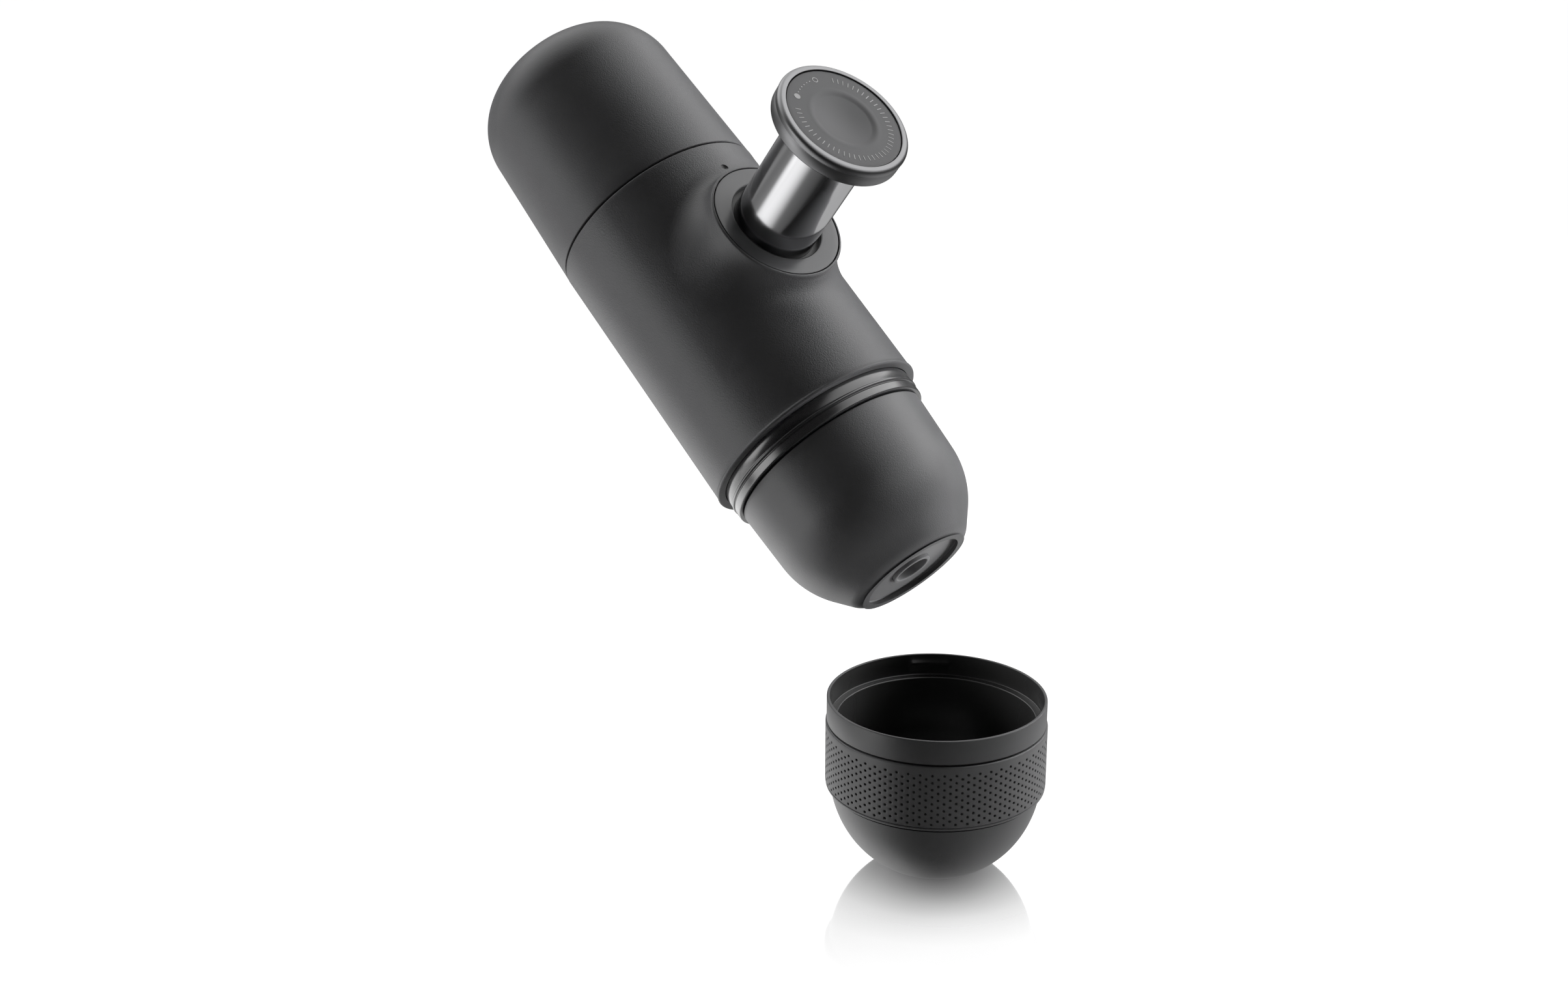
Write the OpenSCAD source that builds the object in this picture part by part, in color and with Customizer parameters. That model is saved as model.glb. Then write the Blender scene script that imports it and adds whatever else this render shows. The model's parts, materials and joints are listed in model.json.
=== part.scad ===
// Handheld manual espresso maker, held tilted over its own cup.
// The maker is drawn upright about its own axis, water tank at the bottom and
// outlet at the top, with the piston along +X. Then it is turned as it is held.
// The origin is the centre of the grip, on the maker's axis.

/* [Water tank] */
// Length of the water tank, foot to mouth
tank_len = 55; // [48:0.5:70]
// How far the tank's mouth lies inside the body's edge
tank_step = 0.1; // [0:0.05:0.4]
// How much the tank narrows in radius towards its rounded end
tank_taper = 1.5; // [0.5:0.1:2.5]
// Radius of the tank's rounded end
tank_corner_r = 17; // [10:0.5:20]
// Wall of the tank
tank_wall = 2.2; // [1.6:0.1:2.6]
// Depth of the threaded mouth inside the tank
tank_thread_len = 8.5; // [6:0.5:12]
// Thickness of the tank's flat gasket
tank_gasket_t = 0.9; // [0.6:0.1:1.5]

/* [Body] */
// Length of the body between the tank and the neck
body_len = 75; // [68:0.5:95]
// Body radius at the tank
body_top_r = 29.4; // [27:0.1:33]
// How much the body widens in radius towards the neck
body_taper = 0.4; // [0:0.05:0.8]
// Wall of the body
body_wall = 2.3; // [1.8:0.1:3]
// How far the bead at the body's end stands proud
bead_proud = 0.25; // [0.1:0.05:0.5]
// Radius of the bead's round edge
bead_r = 0.8; // [0.5:0.1:1.2]
// Thickness of the deck that closes the body at the tank
deck_t = 4; // [3:0.5:6]
// Radius of the index dimple beside the collar
dimple_r = 0.9; // [0.6:0.1:1.4]
// Distance of the index dimple from the tank seam
dimple_at = 8.4; // [7:0.1:9]

/* [Piston and collar] */
// Distance from the tank seam to the piston's axis
piston_drop = 30; // [28:0.5:34]
// How far the collar's face stands over the round body
boss_rise = 3.94; // [3.2:0.02:6]
// Wall of the collar boss round the collar ring
boss_lip = 0.8; // [0.5:0.1:1.4]
// Width of the fillet from the boss into the body
flare_w = 7.5; // [5:0.5:8.5]
// Straight rim at the top of the boss
boss_rim = 1.1; // [0.6:0.1:1.6]
// Outer radius of the collar ring
collar_r = 17.2; // [16.8:0.1:17.4]
// Thickness of the collar ring
collar_t = 2; // [1.6:0.1:2.6]
// Gap between the collar ring and the shaft
collar_gap = 1.3; // [0.8:0.1:2]
// Radius of the piston's steel shaft
shaft_r = 11; // [10.6:0.1:11.2]
// Wall of the steel shaft
shaft_wall = 1.5; // [1:0.1:2]
// Travel of the piston
stroke = 30; // [24:0.5:30.4]
// Gap left under the knob when it is locked in
knob_gap = 1.6; // [1:0.1:4]
// Radius of the knob
knob_r = 17.5; // [16.5:0.1:19]
// Thickness of the knob
knob_t = 5.5; // [4.5:0.1:7]
// Width of the knob's metal rim round its disc
knob_rim = 2; // [1.7:0.1:3.5]
// Thickness of the disc set into the knob
insert_t = 1.7; // [1.2:0.1:2.4]
// Radius of the finger dish
dish_r = 8.4; // [6:0.1:10]
// Depth of the finger dish
dish_depth = 1.1; // [0.6:0.1:1.2]

/* [Pump] */
// How much wider the pump cylinder's bore is than the shaft, in radius
cyl_step = 1.2; // [1:0.1:1.6]
// Wall of the pump cylinder
cyl_wall = 2; // [1.5:0.1:2.2]
// Thickness of the frame behind the cylinder's closed end
frame_back = 4.6; // [4:0.1:5.2]
// Length of the plunger
plunger_len = 8; // [7:0.5:9]
// Radius of the return spring, to the middle of its wire
spring_r = 7.2; // [6.2:0.1:7.4]
// Thickness of the return spring's wire
spring_wire = 1.2; // [0.8:0.1:1.4]
// Turns of the return spring
spring_turns = 8; // [6:1:9]
// Bore radius of the water ports and tubes
port_r = 2; // [1.5:0.1:2.4]
// Distance of the water ports from the cylinder's floor
port_inset = 1.9; // [1:0.1:2.5]

/* [Neck] */
// Length of the neck, body bead to head
neck_len = 6.5; // [6:0.1:9]
// How far the neck's glossy bands lie inside the body's end
neck_step = 2; // [1.8:0.1:2.4]
// How far the neck's thin rib stands proud
neck_rib = 0.3; // [0.2:0.05:0.35]
// Width of the neck's thin rib
neck_rib_w = 0.8; // [0.6:0.1:1.2]
// Distance of the rib from the body's bead
neck_rib_at = 3.5; // [3:0.1:4]
// Step from the neck in to the threaded spigot that carries the head
spigot_step = 4.1; // [4.1:0.1:4.6]
// Wall of that spigot
spigot_wall = 2.8; // [2.2:0.1:3.2]
// Length of that spigot
spigot_len = 7.5; // [6:0.1:8]
// Thickness of the shower screen
screen_t = 0.8; // [0.6:0.1:1.2]

/* [Head] */
// Length of the head, neck to tip
head_len = 36.5; // [33:0.1:42]
// How far the head's edge lies inside the neck
head_step = 0.9; // [0.5:0.1:1]
// How much the head narrows in radius towards its shoulder
head_taper = 0.7; // [0.4:0.1:0.9]
// Radius of the head's long shoulder curve
shoulder_r = 24; // [22:0.1:25]
// Steepest angle of the shoulder
shoulder_angle = 39; // [36:0.5:40]
// Length of the straight slope between the shoulder and the tip's curve
slope_len = 4; // [2.5:0.1:5]
// Radius of the curve round the head's tip
nose_r = 6; // [4.5:0.1:6.5]
// Wall of the head
head_wall = 2.2; // [1.8:0.1:2.3]
// Radius of the recess in the head's tip
recess_r = 14.3; // [13:0.1:14.6]
// Depth of the recess in the head's tip
recess_depth = 1.6; // [1:0.1:2]
// Outer radius of the nozzle ring
nozzle_r = 5.4; // [4.8:0.1:6]
// Bore radius of the nozzle ring
nozzle_bore_r = 4.4; // [3.8:0.1:4.5]
// How far the nozzle ring stands out of the recess floor
nozzle_proud = 0.8; // [0.4:0.1:1]

/* [Filter basket] */
// Width of the basket's rim
basket_lip = 2.7; // [2.7:0.1:3.2]
// Wall of the basket
basket_wall = 0.8; // [0.6:0.1:1.2]
// Free height under the basket, over the slit valve
drip_h = 3.8; // [3:0.1:6]
// Thickness of the basket's rim and floor
basket_rim_t = 1.2; // [0.8:0.1:1.4]
// Thickness of the basket's gasket
gasket_t = 1.4; // [1:0.1:1.8]

/* [Cup] */
// Height of the cup
cup_h = 48.5; // [45:0.5:60]
// Gap between the cup's mouth and the neck when it is put away
cup_fit = 0.4; // [0.35:0.05:0.8]
// Wall of the cup's rim
cup_lip = 0.8; // [0.6:0.1:1.6]
// Depth of the mouth down to its inner ledge
ledge_depth = 6; // [5:0.1:6.2]
// Width of the ledge in the cup's mouth
ledge_w = 2.2; // [1.8:0.1:3]
// How far the round bowl lies inside the rim band
bowl_step = 0.7; // [0.4:0.1:1]
// Depth from the rim to the round part
bowl_at = 21; // [20:0.5:24]
// Radius of the cup's flat foot
foot_r = 9; // [7:0.5:12]
// Wall of the cup's floor
cup_floor = 2.6; // [2:0.1:4]
// Distance of the sleeve's top from the rim
sleeve_at = 7.3; // [7.1:0.1:8.5]
// Height of the rubber sleeve
sleeve_h = 19; // [16:0.5:20]
// How far the sleeve stands over the rim band
sleeve_proud = 0.3; // [0.1:0.05:1]
// Thickness of the sleeve
sleeve_t = 1.5; // [1:0.1:1.8]
// Width of each snap lug in the mouth
lug_w = 11; // [6:0.5:16]

/* [Pose over the cup] */
// Angle of the maker's outlet from straight down
pour_tilt = 49.2; // [40:0.1:55]
// Turn of the maker about its own axis
grip_roll = 3.3; // [-8:0.1:8]
// Height of the nozzle over the cup's rim
pour_gap = 40.8; // [36:0.1:60]
// Distance of the cup's axis behind the nozzle
cup_back = 6.2; // [0:0.1:12]
// Distance of the cup's axis beside the nozzle
cup_side = 18; // [-20:0.1:20]

/* [Hidden] */
$fn = 96;

// clearances
seam_gap = 0.3;    // tank to body
head_gap = 0.3;    // head to neck
thread_gap = 0.3;  // threaded spigots, drawn as plain cylinders
seat_gap = 0.1;    // pieces pushed together and fixed
run_gap = 0.05;    // pieces that slide or turn in each other
port_gap = 0.05;   // tubes in their holes
sleeve_gap = 0.4;  // groove over the cup's sleeve
edge = 0.4;        // small rounded edges

// stations along the maker's axis, from the tank's foot
z_seam = tank_len;
z_piston = z_seam + piston_drop;
z_bead = z_seam + body_len;
z_neck = z_bead + neck_len;
z_head = z_neck + head_gap;
z_tip = z_head + head_len;
z_grip = z_seam + body_len / 2;

// radii across the maker's axis
tank_mouth_r = body_top_r - tank_step;
tank_end_r = tank_mouth_r - tank_taper;
tank_spigot_r = tank_mouth_r - tank_wall - thread_gap - 0.2;
tank_bore_r = tank_spigot_r + thread_gap;
body_low_r = body_top_r + body_taper;
body_bore_r = body_top_r - body_wall;
frame_r = body_bore_r - seat_gap;
neck_r = body_low_r - neck_step;
neck_bore_r = neck_r + 0.15;
spigot_r = neck_r - spigot_step;
head_bore_r = spigot_r + thread_gap;
head_top_r = neck_r - head_step;
head_r = head_top_r - head_taper;
basket_rim_r = spigot_r;
basket_r = basket_rim_r - basket_lip;

// more stations along the maker's axis
z_tank_ledge = z_seam - seam_gap - tank_thread_len;
z_frame_end = z_bead - 6;
z_tube_end = z_piston - shaft_r - cyl_step - cyl_wall + 0.6;  // the tube is let into the cylinder's side
tube_r = port_r + 1;
z_spigot = z_neck + spigot_len;
z_screen = z_spigot - 2.6;
z_basket = z_spigot + gasket_t;
z_head_ledge = z_basket + basket_rim_t;
z_recess = z_tip - recess_depth;
nozzle_floor_t = 3.8;
nozzle_flange_t = 1.5;
valve_t = 1.2;
z_inner_floor = z_recess - nozzle_floor_t;
z_valve = z_inner_floor - nozzle_flange_t - valve_t;
z_basket_floor = z_valve - drip_h;

z_shoulder = z_tip - nose_r * (1 - sin(shoulder_angle)) - slope_len
    - shoulder_r * sin(shoulder_angle);

// places along the piston's axis, from the maker's axis
shaft_bore_r = shaft_r - shaft_wall;
cyl_r = shaft_r + cyl_step;
cyl_out_r = cyl_r + cyl_wall;
cyl_back = frame_r - frame_back;
boss_r = collar_r + seat_gap + boss_lip;
collar_hole_r = shaft_r + collar_gap;
insert_r = knob_r - knob_rim - seat_gap;
x_boss = body_r(z_piston) + boss_rise;
x_boss_root = sqrt(pow(body_bore_r, 2) - pow(boss_r, 2)) + body_wall / 2;
x_collar = x_boss - collar_t;
x_cyl_mouth = frame_r;
x_cyl_floor = -cyl_back + cyl_wall;
port_x = -x_cyl_floor - port_inset - port_r;
// the piston is out at rest, one stroke over its end beside the ports
x_plunger = port_r - port_x + stroke + 0.5;
x_shaft = x_plunger + plunger_len;
x_knob_under = x_boss + knob_gap + stroke;
x_knob = x_knob_under + knob_t;
stub_len = 6;
pocket_r = shaft_bore_r - 1;
x_pocket = x_shaft + stub_len - 2;
// cup stations, from its foot
z_ledge = cup_h - ledge_depth;
z_bowl = cup_h - bowl_at;
z_sleeve = cup_h - sleeve_at - sleeve_h;
bowl_tip_r = 3.5;
cup_mouth_r = neck_r + cup_fit;
cup_r = cup_mouth_r + cup_lip;
cup_inner_r = cup_mouth_r - ledge_w;
bowl_r = cup_r - bowl_step;
sleeve_r = cup_r + sleeve_proud;

function arc(cx, cy, r, a0, a1, n = 14) =
    [for (i = [0:n]) let(a = a0 + (a1 - a0) * i / n) [cx + r * cos(a), cy + r * sin(a)]];
// outer radius of the body at a station
function body_r(z) = body_top_r + (body_low_r - body_top_r) * (z - z_seam) / body_len;

// ---- placing ----
module held() {
    rotate([0, 180 - pour_tilt, 0]) rotate([0, 0, 180 + grip_roll])
        translate([0, 0, -z_grip]) children();
}
nozzle_reach = z_tip - z_grip;
cup_x = nozzle_reach * sin(pour_tilt) - cup_back;
cup_z = -nozzle_reach * cos(pour_tilt) - pour_gap - cup_h;
module standing() { translate([cup_x, cup_side, cup_z]) children(); }
// turns a shape drawn along Z onto the piston's axis
module on_piston() { translate([0, 0, z_piston]) rotate([0, 90, 0]) children(); }
module ring(r_out, r_in, z0, z1) {
    difference() {
        translate([0, 0, z0]) cylinder(r = r_out, h = z1 - z0);
        translate([0, 0, z0 - 1]) cylinder(r = r_in, h = z1 - z0 + 2);
    }
}
module port(z0, z1, r) { translate([-port_x, 0, z0]) cylinder(r = r, h = z1 - z0, $fn = 48); }

// ---- water tank ----
module tank_shell() {
    foot = tank_end_r - tank_corner_r;
    inner_c = tank_corner_r - tank_wall;
    mouth = z_seam - seam_gap;
    color("#3a3a3b") held() rotate_extrude() polygon(concat(
        [[0, 0]],
        arc(foot, tank_corner_r, tank_corner_r, -90, 0, 20),
        arc(tank_mouth_r - edge, mouth - edge, edge, 0, 90, 4),
        [[tank_bore_r, mouth], [tank_bore_r, z_tank_ledge],
         [tank_mouth_r - tank_wall - 2, z_tank_ledge]],
        arc(foot, tank_corner_r, inner_c, 0, -90, 20),
        [[0, tank_wall]]));
}
module tank_gasket() {
    color("#1a1a1a") held()
        ring(tank_bore_r - 0.2, tank_mouth_r - tank_wall - 2.8, z_tank_ledge, z_tank_ledge + tank_gasket_t);
}

// ---- body ----
// solid fillet between the round body and the collar boss
module flare() {
    na = 72;
    nt = 9;
    top = x_boss - boss_rim;
    function on_body(z, y) = sqrt(pow(body_r(z), 2) - y * y);
    function at(rho, phi, x) = [x, rho * sin(phi), z_piston + rho * cos(phi)];
    function fillet(phi, t) =
        let(rho = boss_r - 0.05 + flare_w * (1 - cos(90 * t)),
            base = on_body(z_piston + rho * cos(phi), rho * sin(phi)) - 0.15)
        at(rho, phi, base + (top - base) * (1 - sin(90 * t)));
    rings = concat(
        [[for (i = [0:na - 1]) at(boss_r - 2.5, 360 * i / na, x_boss_root)]],
        [[for (i = [0:na - 1]) at(boss_r - 2.5, 360 * i / na, top)]],
        [for (k = [0:nt]) [for (i = [0:na - 1]) fillet(360 * i / na, k / nt)]],
        [[for (i = [0:na - 1]) let(phi = 360 * i / na, rho = boss_r + flare_w)
            at(rho, phi, on_body(z_piston + rho * cos(phi), rho * sin(phi)) - 4)]]);
    nr = len(rings);
    polyhedron(points = [for (g = rings) each g],
        faces = [for (k = [0:nr - 1]) for (i = [0:na - 1])
            let(a = k * na + i, b = k * na + (i + 1) % na,
                c = ((k + 1) % nr) * na + (i + 1) % na, d = ((k + 1) % nr) * na + i)
            each [[a, c, b], [a, d, c]]]);
}
module body_shell() {
    bead_c = body_low_r + bead_proud - bead_r;
    color("#3d3d3e") held() difference() {
        union() {
            rotate_extrude() polygon(concat(
                [[body_bore_r, z_seam]],
                arc(body_top_r - edge, z_seam + edge, edge, -90, 0, 4),
                [[body_low_r, z_bead - bead_r * 2.4]],
                arc(bead_c, z_bead - bead_r, bead_r, 0, 90, 8),
                [[neck_bore_r, z_bead], [neck_bore_r, z_frame_end], [body_bore_r, z_frame_end]]));
            difference() {
                flare();
                translate([0, 0, z_seam - 1]) cylinder(r = body_bore_r, h = body_len);
            }
            difference() {
                on_piston() translate([0, 0, x_boss_root]) cylinder(r = boss_r, h = x_boss - x_boss_root);
                translate([0, 0, z_seam - 1]) cylinder(r = body_bore_r, h = body_len);
            }
        }
        on_piston() translate([0, 0, frame_r / 2]) cylinder(r = cyl_out_r + seat_gap, h = x_boss);
        on_piston() translate([0, 0, x_collar]) cylinder(r = collar_r + seat_gap, h = x_boss);
        translate([body_r(z_seam + dimple_at) + dimple_r * 0.35, 0, z_seam + dimple_at])
            sphere(r = dimple_r, $fn = 32);
    }
}
module tank_deck() {
    color("#242424") held() difference() {
        union() {
            translate([0, 0, z_seam]) cylinder(r = frame_r, h = deck_t);
            ring(tank_spigot_r, tank_spigot_r - 3.4, z_tank_ledge + tank_gasket_t, z_seam + 1);
        }
        port(z_seam - 1, z_seam + deck_t + 1, tube_r + port_gap);
    }
}
module pump_frame() {
    color("#2b2b2b") held() difference() {
        translate([0, 0, z_seam + deck_t]) cylinder(r = frame_r, h = z_frame_end - z_seam - deck_t);
        on_piston() translate([0, 0, -cyl_back - seat_gap])
            cylinder(r = cyl_out_r + seat_gap, h = 2 * frame_r);
        port(z_seam, z_piston, tube_r + port_gap);
        port(z_piston, z_bead, port_r);
    }
}
module pump_cylinder() {
    color("#8f9193") held() difference() {
        on_piston() translate([0, 0, -cyl_back]) cylinder(r = cyl_out_r, h = cyl_back + x_cyl_mouth);
        on_piston() translate([0, 0, x_cyl_floor]) cylinder(r = cyl_r, h = 2 * frame_r);
        port(z_seam, z_bead, port_r);
        port(z_seam, z_tube_end, tube_r + port_gap);
    }
}
module guide_bush() {
    color("#161616") held() on_piston()
        ring(cyl_out_r, shaft_r + run_gap, x_cyl_mouth, x_collar);
}
module collar_ring() {
    color("#58595b") held() on_piston() rotate_extrude() polygon([
        [collar_hole_r, x_collar], [collar_r, x_collar], [collar_r, x_boss - 0.25],
        [collar_r - 0.25, x_boss], [collar_hole_r + 0.5, x_boss], [collar_hole_r, x_boss - 0.5]]);
}
module inlet_tube() {
    color("#d8d8d4") held() difference() {
        port(z_seam + deck_t / 2, z_tube_end, tube_r);
        port(z_seam, z_piston, port_r);
    }
}
module inlet_valve() {
    color("#b9b4a8") held() translate([-port_x, 0, z_seam]) mirror([0, 0, 1]) difference() {
        rotate_extrude($fn = 48) polygon([[0, 0], [port_r + 2.6, 0], [port_r + 2.6, 0.9],
            [tube_r, 1.2], [1.2, 4.4], [0, 4.4]]);
        translate([0, 0, -1]) cylinder(r = port_r - 0.6, h = 2.6, $fn = 32);
    }
}
module outlet_valve() {
    color("#b9b4a8") held() translate([-port_x, 0, z_screen - 2]) rotate_extrude($fn = 48)
        polygon([[0, 0], [port_r + 0.7, 0], [port_r + 0.7, 0.7], [1.2, 1.6], [0, 1.6]]);
}

// ---- neck ----
module neck_ring() {
    rib0 = z_bead + neck_rib_at - neck_rib_w / 2;
    rib1 = rib0 + neck_rib_w;
    in_r = spigot_r - spigot_wall;
    color("#101010") held() difference() {
        rotate_extrude() polygon(concat(
            [[0, z_frame_end], [neck_r, z_frame_end], [neck_r, rib0 - 0.15],
             [neck_r + neck_rib, rib0 + 0.1], [neck_r + neck_rib, rib1 - 0.1], [neck_r, rib1 + 0.15]],
            arc(neck_r - edge, z_neck - edge, edge, 0, 90, 4),
            [[spigot_r, z_neck], [spigot_r, z_spigot], [in_r, z_spigot], [in_r, z_screen],
             [in_r - 1.5, z_screen], [in_r - 1.5, z_screen - 2], [0, z_screen - 2]]));
        port(z_frame_end - 1, z_screen, port_r);
        translate([0, 0, z_screen - 7]) cylinder(r = 1.6, h = 8, $fn = 32);
    }
    // post that carries the shower screen's screw
    color("#101010") held() ring(3.4, 1.6, z_screen - 2, z_screen);
}
module shower_screen() {
    color("#c4c6c8") held() difference() {
        translate([0, 0, z_screen]) cylinder(r = spigot_r - spigot_wall - seat_gap, h = screen_t);
        translate([0, 0, z_screen - 1]) cylinder(r = 1.6, h = 3, $fn = 32);
        for (k = [1:3]) for (i = [0:k * 6 - 1]) rotate([0, 0, 360 * i / (k * 6) + 10 * k])
            translate([5.2 * k + 1, 0, z_screen - 1]) cylinder(r = 0.7, h = 3, $fn = 16);
    }
}
module screen_screw() {
    color("#b0b2b4") held() difference() {
        union() {
            translate([0, 0, z_screen - 5]) cylinder(r = 1.5, h = 5.2 + screen_t, $fn = 32);
            translate([0, 0, z_screen + screen_t]) cylinder(r = 3, h = 1.2, $fn = 48);
        }
        translate([-0.4, -4, z_screen + screen_t + 0.6]) cube([0.8, 8, 2]);
    }
}

// ---- piston ----
module plunger() {
    color("#2a2a2a") held() on_piston() rotate_extrude() polygon([
        [pocket_r, x_plunger], [cyl_r - 0.7, x_plunger], [cyl_r - 0.3, x_plunger + 0.4],
        [cyl_r - 0.3, x_plunger + 2.4], [cyl_r - 2, x_plunger + 2.4],
        [cyl_r - 2, x_plunger + 5.4], [cyl_r - 0.3, x_plunger + 5.4],
        [cyl_r - 0.3, x_shaft], [shaft_bore_r - run_gap, x_shaft],
        [shaft_bore_r - run_gap, x_shaft + stub_len], [0, x_shaft + stub_len],
        [0, x_pocket], [pocket_r, x_pocket]]);
}
module plunger_seal() {
    r0 = cyl_r - 2 + run_gap;
    r1 = cyl_r - run_gap;
    color("#9c3b22") held() on_piston() rotate_extrude() polygon([
        [r0, x_plunger + 2.5], [r1 - 0.5, x_plunger + 2.5], [r1, x_plunger + 3],
        [r1, x_plunger + 4.8], [r1 - 0.5, x_plunger + 5.3], [r0, x_plunger + 5.3]]);
}
module piston_shaft() {
    color("#c9cbce") held() on_piston() ring(shaft_r, shaft_bore_r, x_shaft, x_knob_under);
}
module knob_ring() {
    low = x_knob_under;
    pocket = insert_r + seat_gap;
    round_r = 1.5;
    color("#707275") held() on_piston() rotate_extrude() polygon(concat(
        [[0, low], [shaft_r + 1.2, low]],
        [[knob_r - 1.6, low + 0.5]],
        arc(knob_r - 1.1, low + 1.3, 0.7, -90, 0, 5),
        [[knob_r - 0.4, low + 2.2], [knob_r, low + 2.6]],
        arc(knob_r - round_r, x_knob - round_r, round_r, 0, 80, 8),
        [[pocket + 0.2, x_knob], [pocket, x_knob - 0.2], [pocket, x_knob - insert_t - 0.1],
         [0, x_knob - insert_t - 0.1]]));
}
module knob_insert() {
    // the dish is a shallow bowl with a soft lip
    top = x_knob - 0.2;
    bowl = (dish_r * dish_r + dish_depth * dish_depth) / (2 * dish_depth);
    half = asin(dish_r / bowl);
    low = x_knob - insert_t - 0.1;
    color("#4a4b4d") held() on_piston() rotate_extrude() polygon(concat(
        [[0, low], [insert_r, low], [insert_r, top - 0.2], [insert_r - 0.2, top],
         [dish_r + 1, top]],
        [for (i = [10:-1:0]) let(a = half * i / 10)
            [bowl * sin(a), top - dish_depth + bowl * (1 - cos(a)) - 0.05]]));
}

// return spring: one tube, with its end turns closer than the rest
spring_sides = 6;
spring_steps = 8;
spring_low = x_cyl_floor + spring_wire / 2 + 0.2;
spring_high = x_pocket - spring_wire / 2 - 0.2;
spring_end_pitch = spring_wire + 0.5;
spring_pitch = (spring_high - spring_low - 2 * spring_end_pitch) / (spring_turns - 2);
function spring_h(t) = t < 1 ? t * spring_end_pitch
    : t > spring_turns - 1 ? spring_high - spring_low - (spring_turns - t) * spring_end_pitch
    : spring_end_pitch + (t - 1) * spring_pitch;
function spring_at(t) = [spring_r * cos(360 * t), spring_r * sin(360 * t), spring_low + spring_h(t)];
spring_mid = [for (i = [0:spring_turns * spring_steps]) spring_at(i / spring_steps)];
spring_least = min([for (i = [0:len(spring_mid) - 1 - spring_steps])
    norm(spring_mid[i + spring_steps] - spring_mid[i])]) - spring_wire;
echo(spring_least_gap = spring_least);
module return_spring() {
    count = len(spring_mid);
    color("#b4b6b8") held() on_piston() polyhedron(
        points = [for (i = [0:count - 1]) for (k = [0:spring_sides - 1])
            let(turn = 360 * i / spring_steps, side = 360 * k / spring_sides,
                out = spring_r + spring_wire / 2 * cos(side))
            [out * cos(turn), out * sin(turn), spring_mid[i][2] + spring_wire / 2 * sin(side)]],
        faces = concat(
            [for (k = [1:spring_sides - 2]) [0, k + 1, k]],
            [for (i = [0:count - 2]) for (k = [0:spring_sides - 1])
                let(a = i * spring_sides + k, b = i * spring_sides + (k + 1) % spring_sides)
                each [[a, b, b + spring_sides], [a, b + spring_sides, a + spring_sides]]],
            [for (k = [1:spring_sides - 2]) let(e = (count - 1) * spring_sides) [e, e + k, e + k + 1]]));
}

// ---- head ----
// outline of the head from the neck to its tip, moved in by a wall
function head_line(w) =
    let(s1 = z_shoulder,
        e1 = s1 + shoulder_r * sin(shoulder_angle),
        r1 = head_r - shoulder_r * (1 - cos(shoulder_angle)),
        e2 = e1 + slope_len,
        r2 = r1 - (e2 - e1) * tan(shoulder_angle))
    concat([[head_r + 0.25 - w, z_head + 5]],
        [for (i = [0:12]) let(a = shoulder_angle * i / 12)
            [head_r - shoulder_r + (shoulder_r - w) * cos(a), s1 + (shoulder_r - w) * sin(a)]],
        [for (i = [0:8]) let(a = shoulder_angle + (90 - shoulder_angle) * i / 8)
            [r2 - nose_r * cos(shoulder_angle) + (nose_r - w) * cos(a),
             z_tip - nose_r + (nose_r - w) * sin(a)]]);
module head_shell() {
    inner = head_line(head_wall);
    chamber_r = basket_r + 1.4;
    color("#3d3d3e") held() difference() {
        rotate_extrude() polygon(concat(
            [[0, z_head]], arc(head_top_r - edge, z_head + edge, edge, -90, 0, 4),
            head_line(0), [[0, z_tip]]));
        // threaded bore down to the ledge that carries the basket
        translate([0, 0, z_head - 1]) cylinder(r = head_bore_r, h = z_head_ledge - z_head + 1);
        // chamber round and under the basket
        rotate_extrude() polygon(concat(
            [[0, z_head_ledge - 1], [chamber_r, z_head_ledge - 1], [chamber_r, z_shoulder]],
            [for (q = inner) if (q[1] > z_shoulder && q[1] < z_inner_floor && q[0] < chamber_r) q],
            [[8.5, z_inner_floor], [0, z_inner_floor]]));
        translate([0, 0, z_recess]) cylinder(r = recess_r, h = 10);
        translate([0, 0, z_inner_floor - 1]) cylinder(r = nozzle_r + seat_gap, h = 10);
    }
}
module nozzle_ring() {
    top = z_recess + nozzle_proud;
    color("#46474a") held() rotate_extrude() polygon([
        [nozzle_bore_r, z_inner_floor - nozzle_flange_t], [nozzle_r + 1.8, z_inner_floor - nozzle_flange_t],
        [nozzle_r + 1.8, z_inner_floor], [nozzle_r, z_inner_floor],
        [nozzle_r, top - 0.3], [nozzle_r - 0.3, top], [nozzle_bore_r, top]]);
}
module crema_valve() {
    // slit disc on the inner end of the nozzle
    color("#141414") held() difference() {
        translate([0, 0, z_valve]) cylinder(r = nozzle_r + 1, h = valve_t);
        translate([-1.6, -0.2, z_inner_floor - 6]) cube([3.2, 0.4, 8]);
    }
}
module basket_gasket() {
    color("#1c1c1c") held() ring(basket_rim_r, basket_r - 0.4, z_spigot, z_basket);
}
module filter_basket() {
    color("#b9bbbd") held() difference() {
        rotate_extrude() polygon([
            [0, z_basket_floor - basket_rim_t / 2],
            [basket_r - basket_wall, z_basket_floor - basket_rim_t / 2],
            [basket_r - basket_wall, z_basket], [basket_rim_r, z_basket],
            [basket_rim_r, z_head_ledge], [basket_r, z_head_ledge],
            [basket_r, z_basket_floor], [0, z_basket_floor]]);
        for (k = [1:4]) for (i = [0:k * 6 - 1]) rotate([0, 0, 360 * i / (k * 6) + 12 * k])
            translate([4.4 * k, 0, z_basket_floor - 2]) cylinder(r = 0.5, h = 3, $fn = 16);
    }
}

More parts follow.
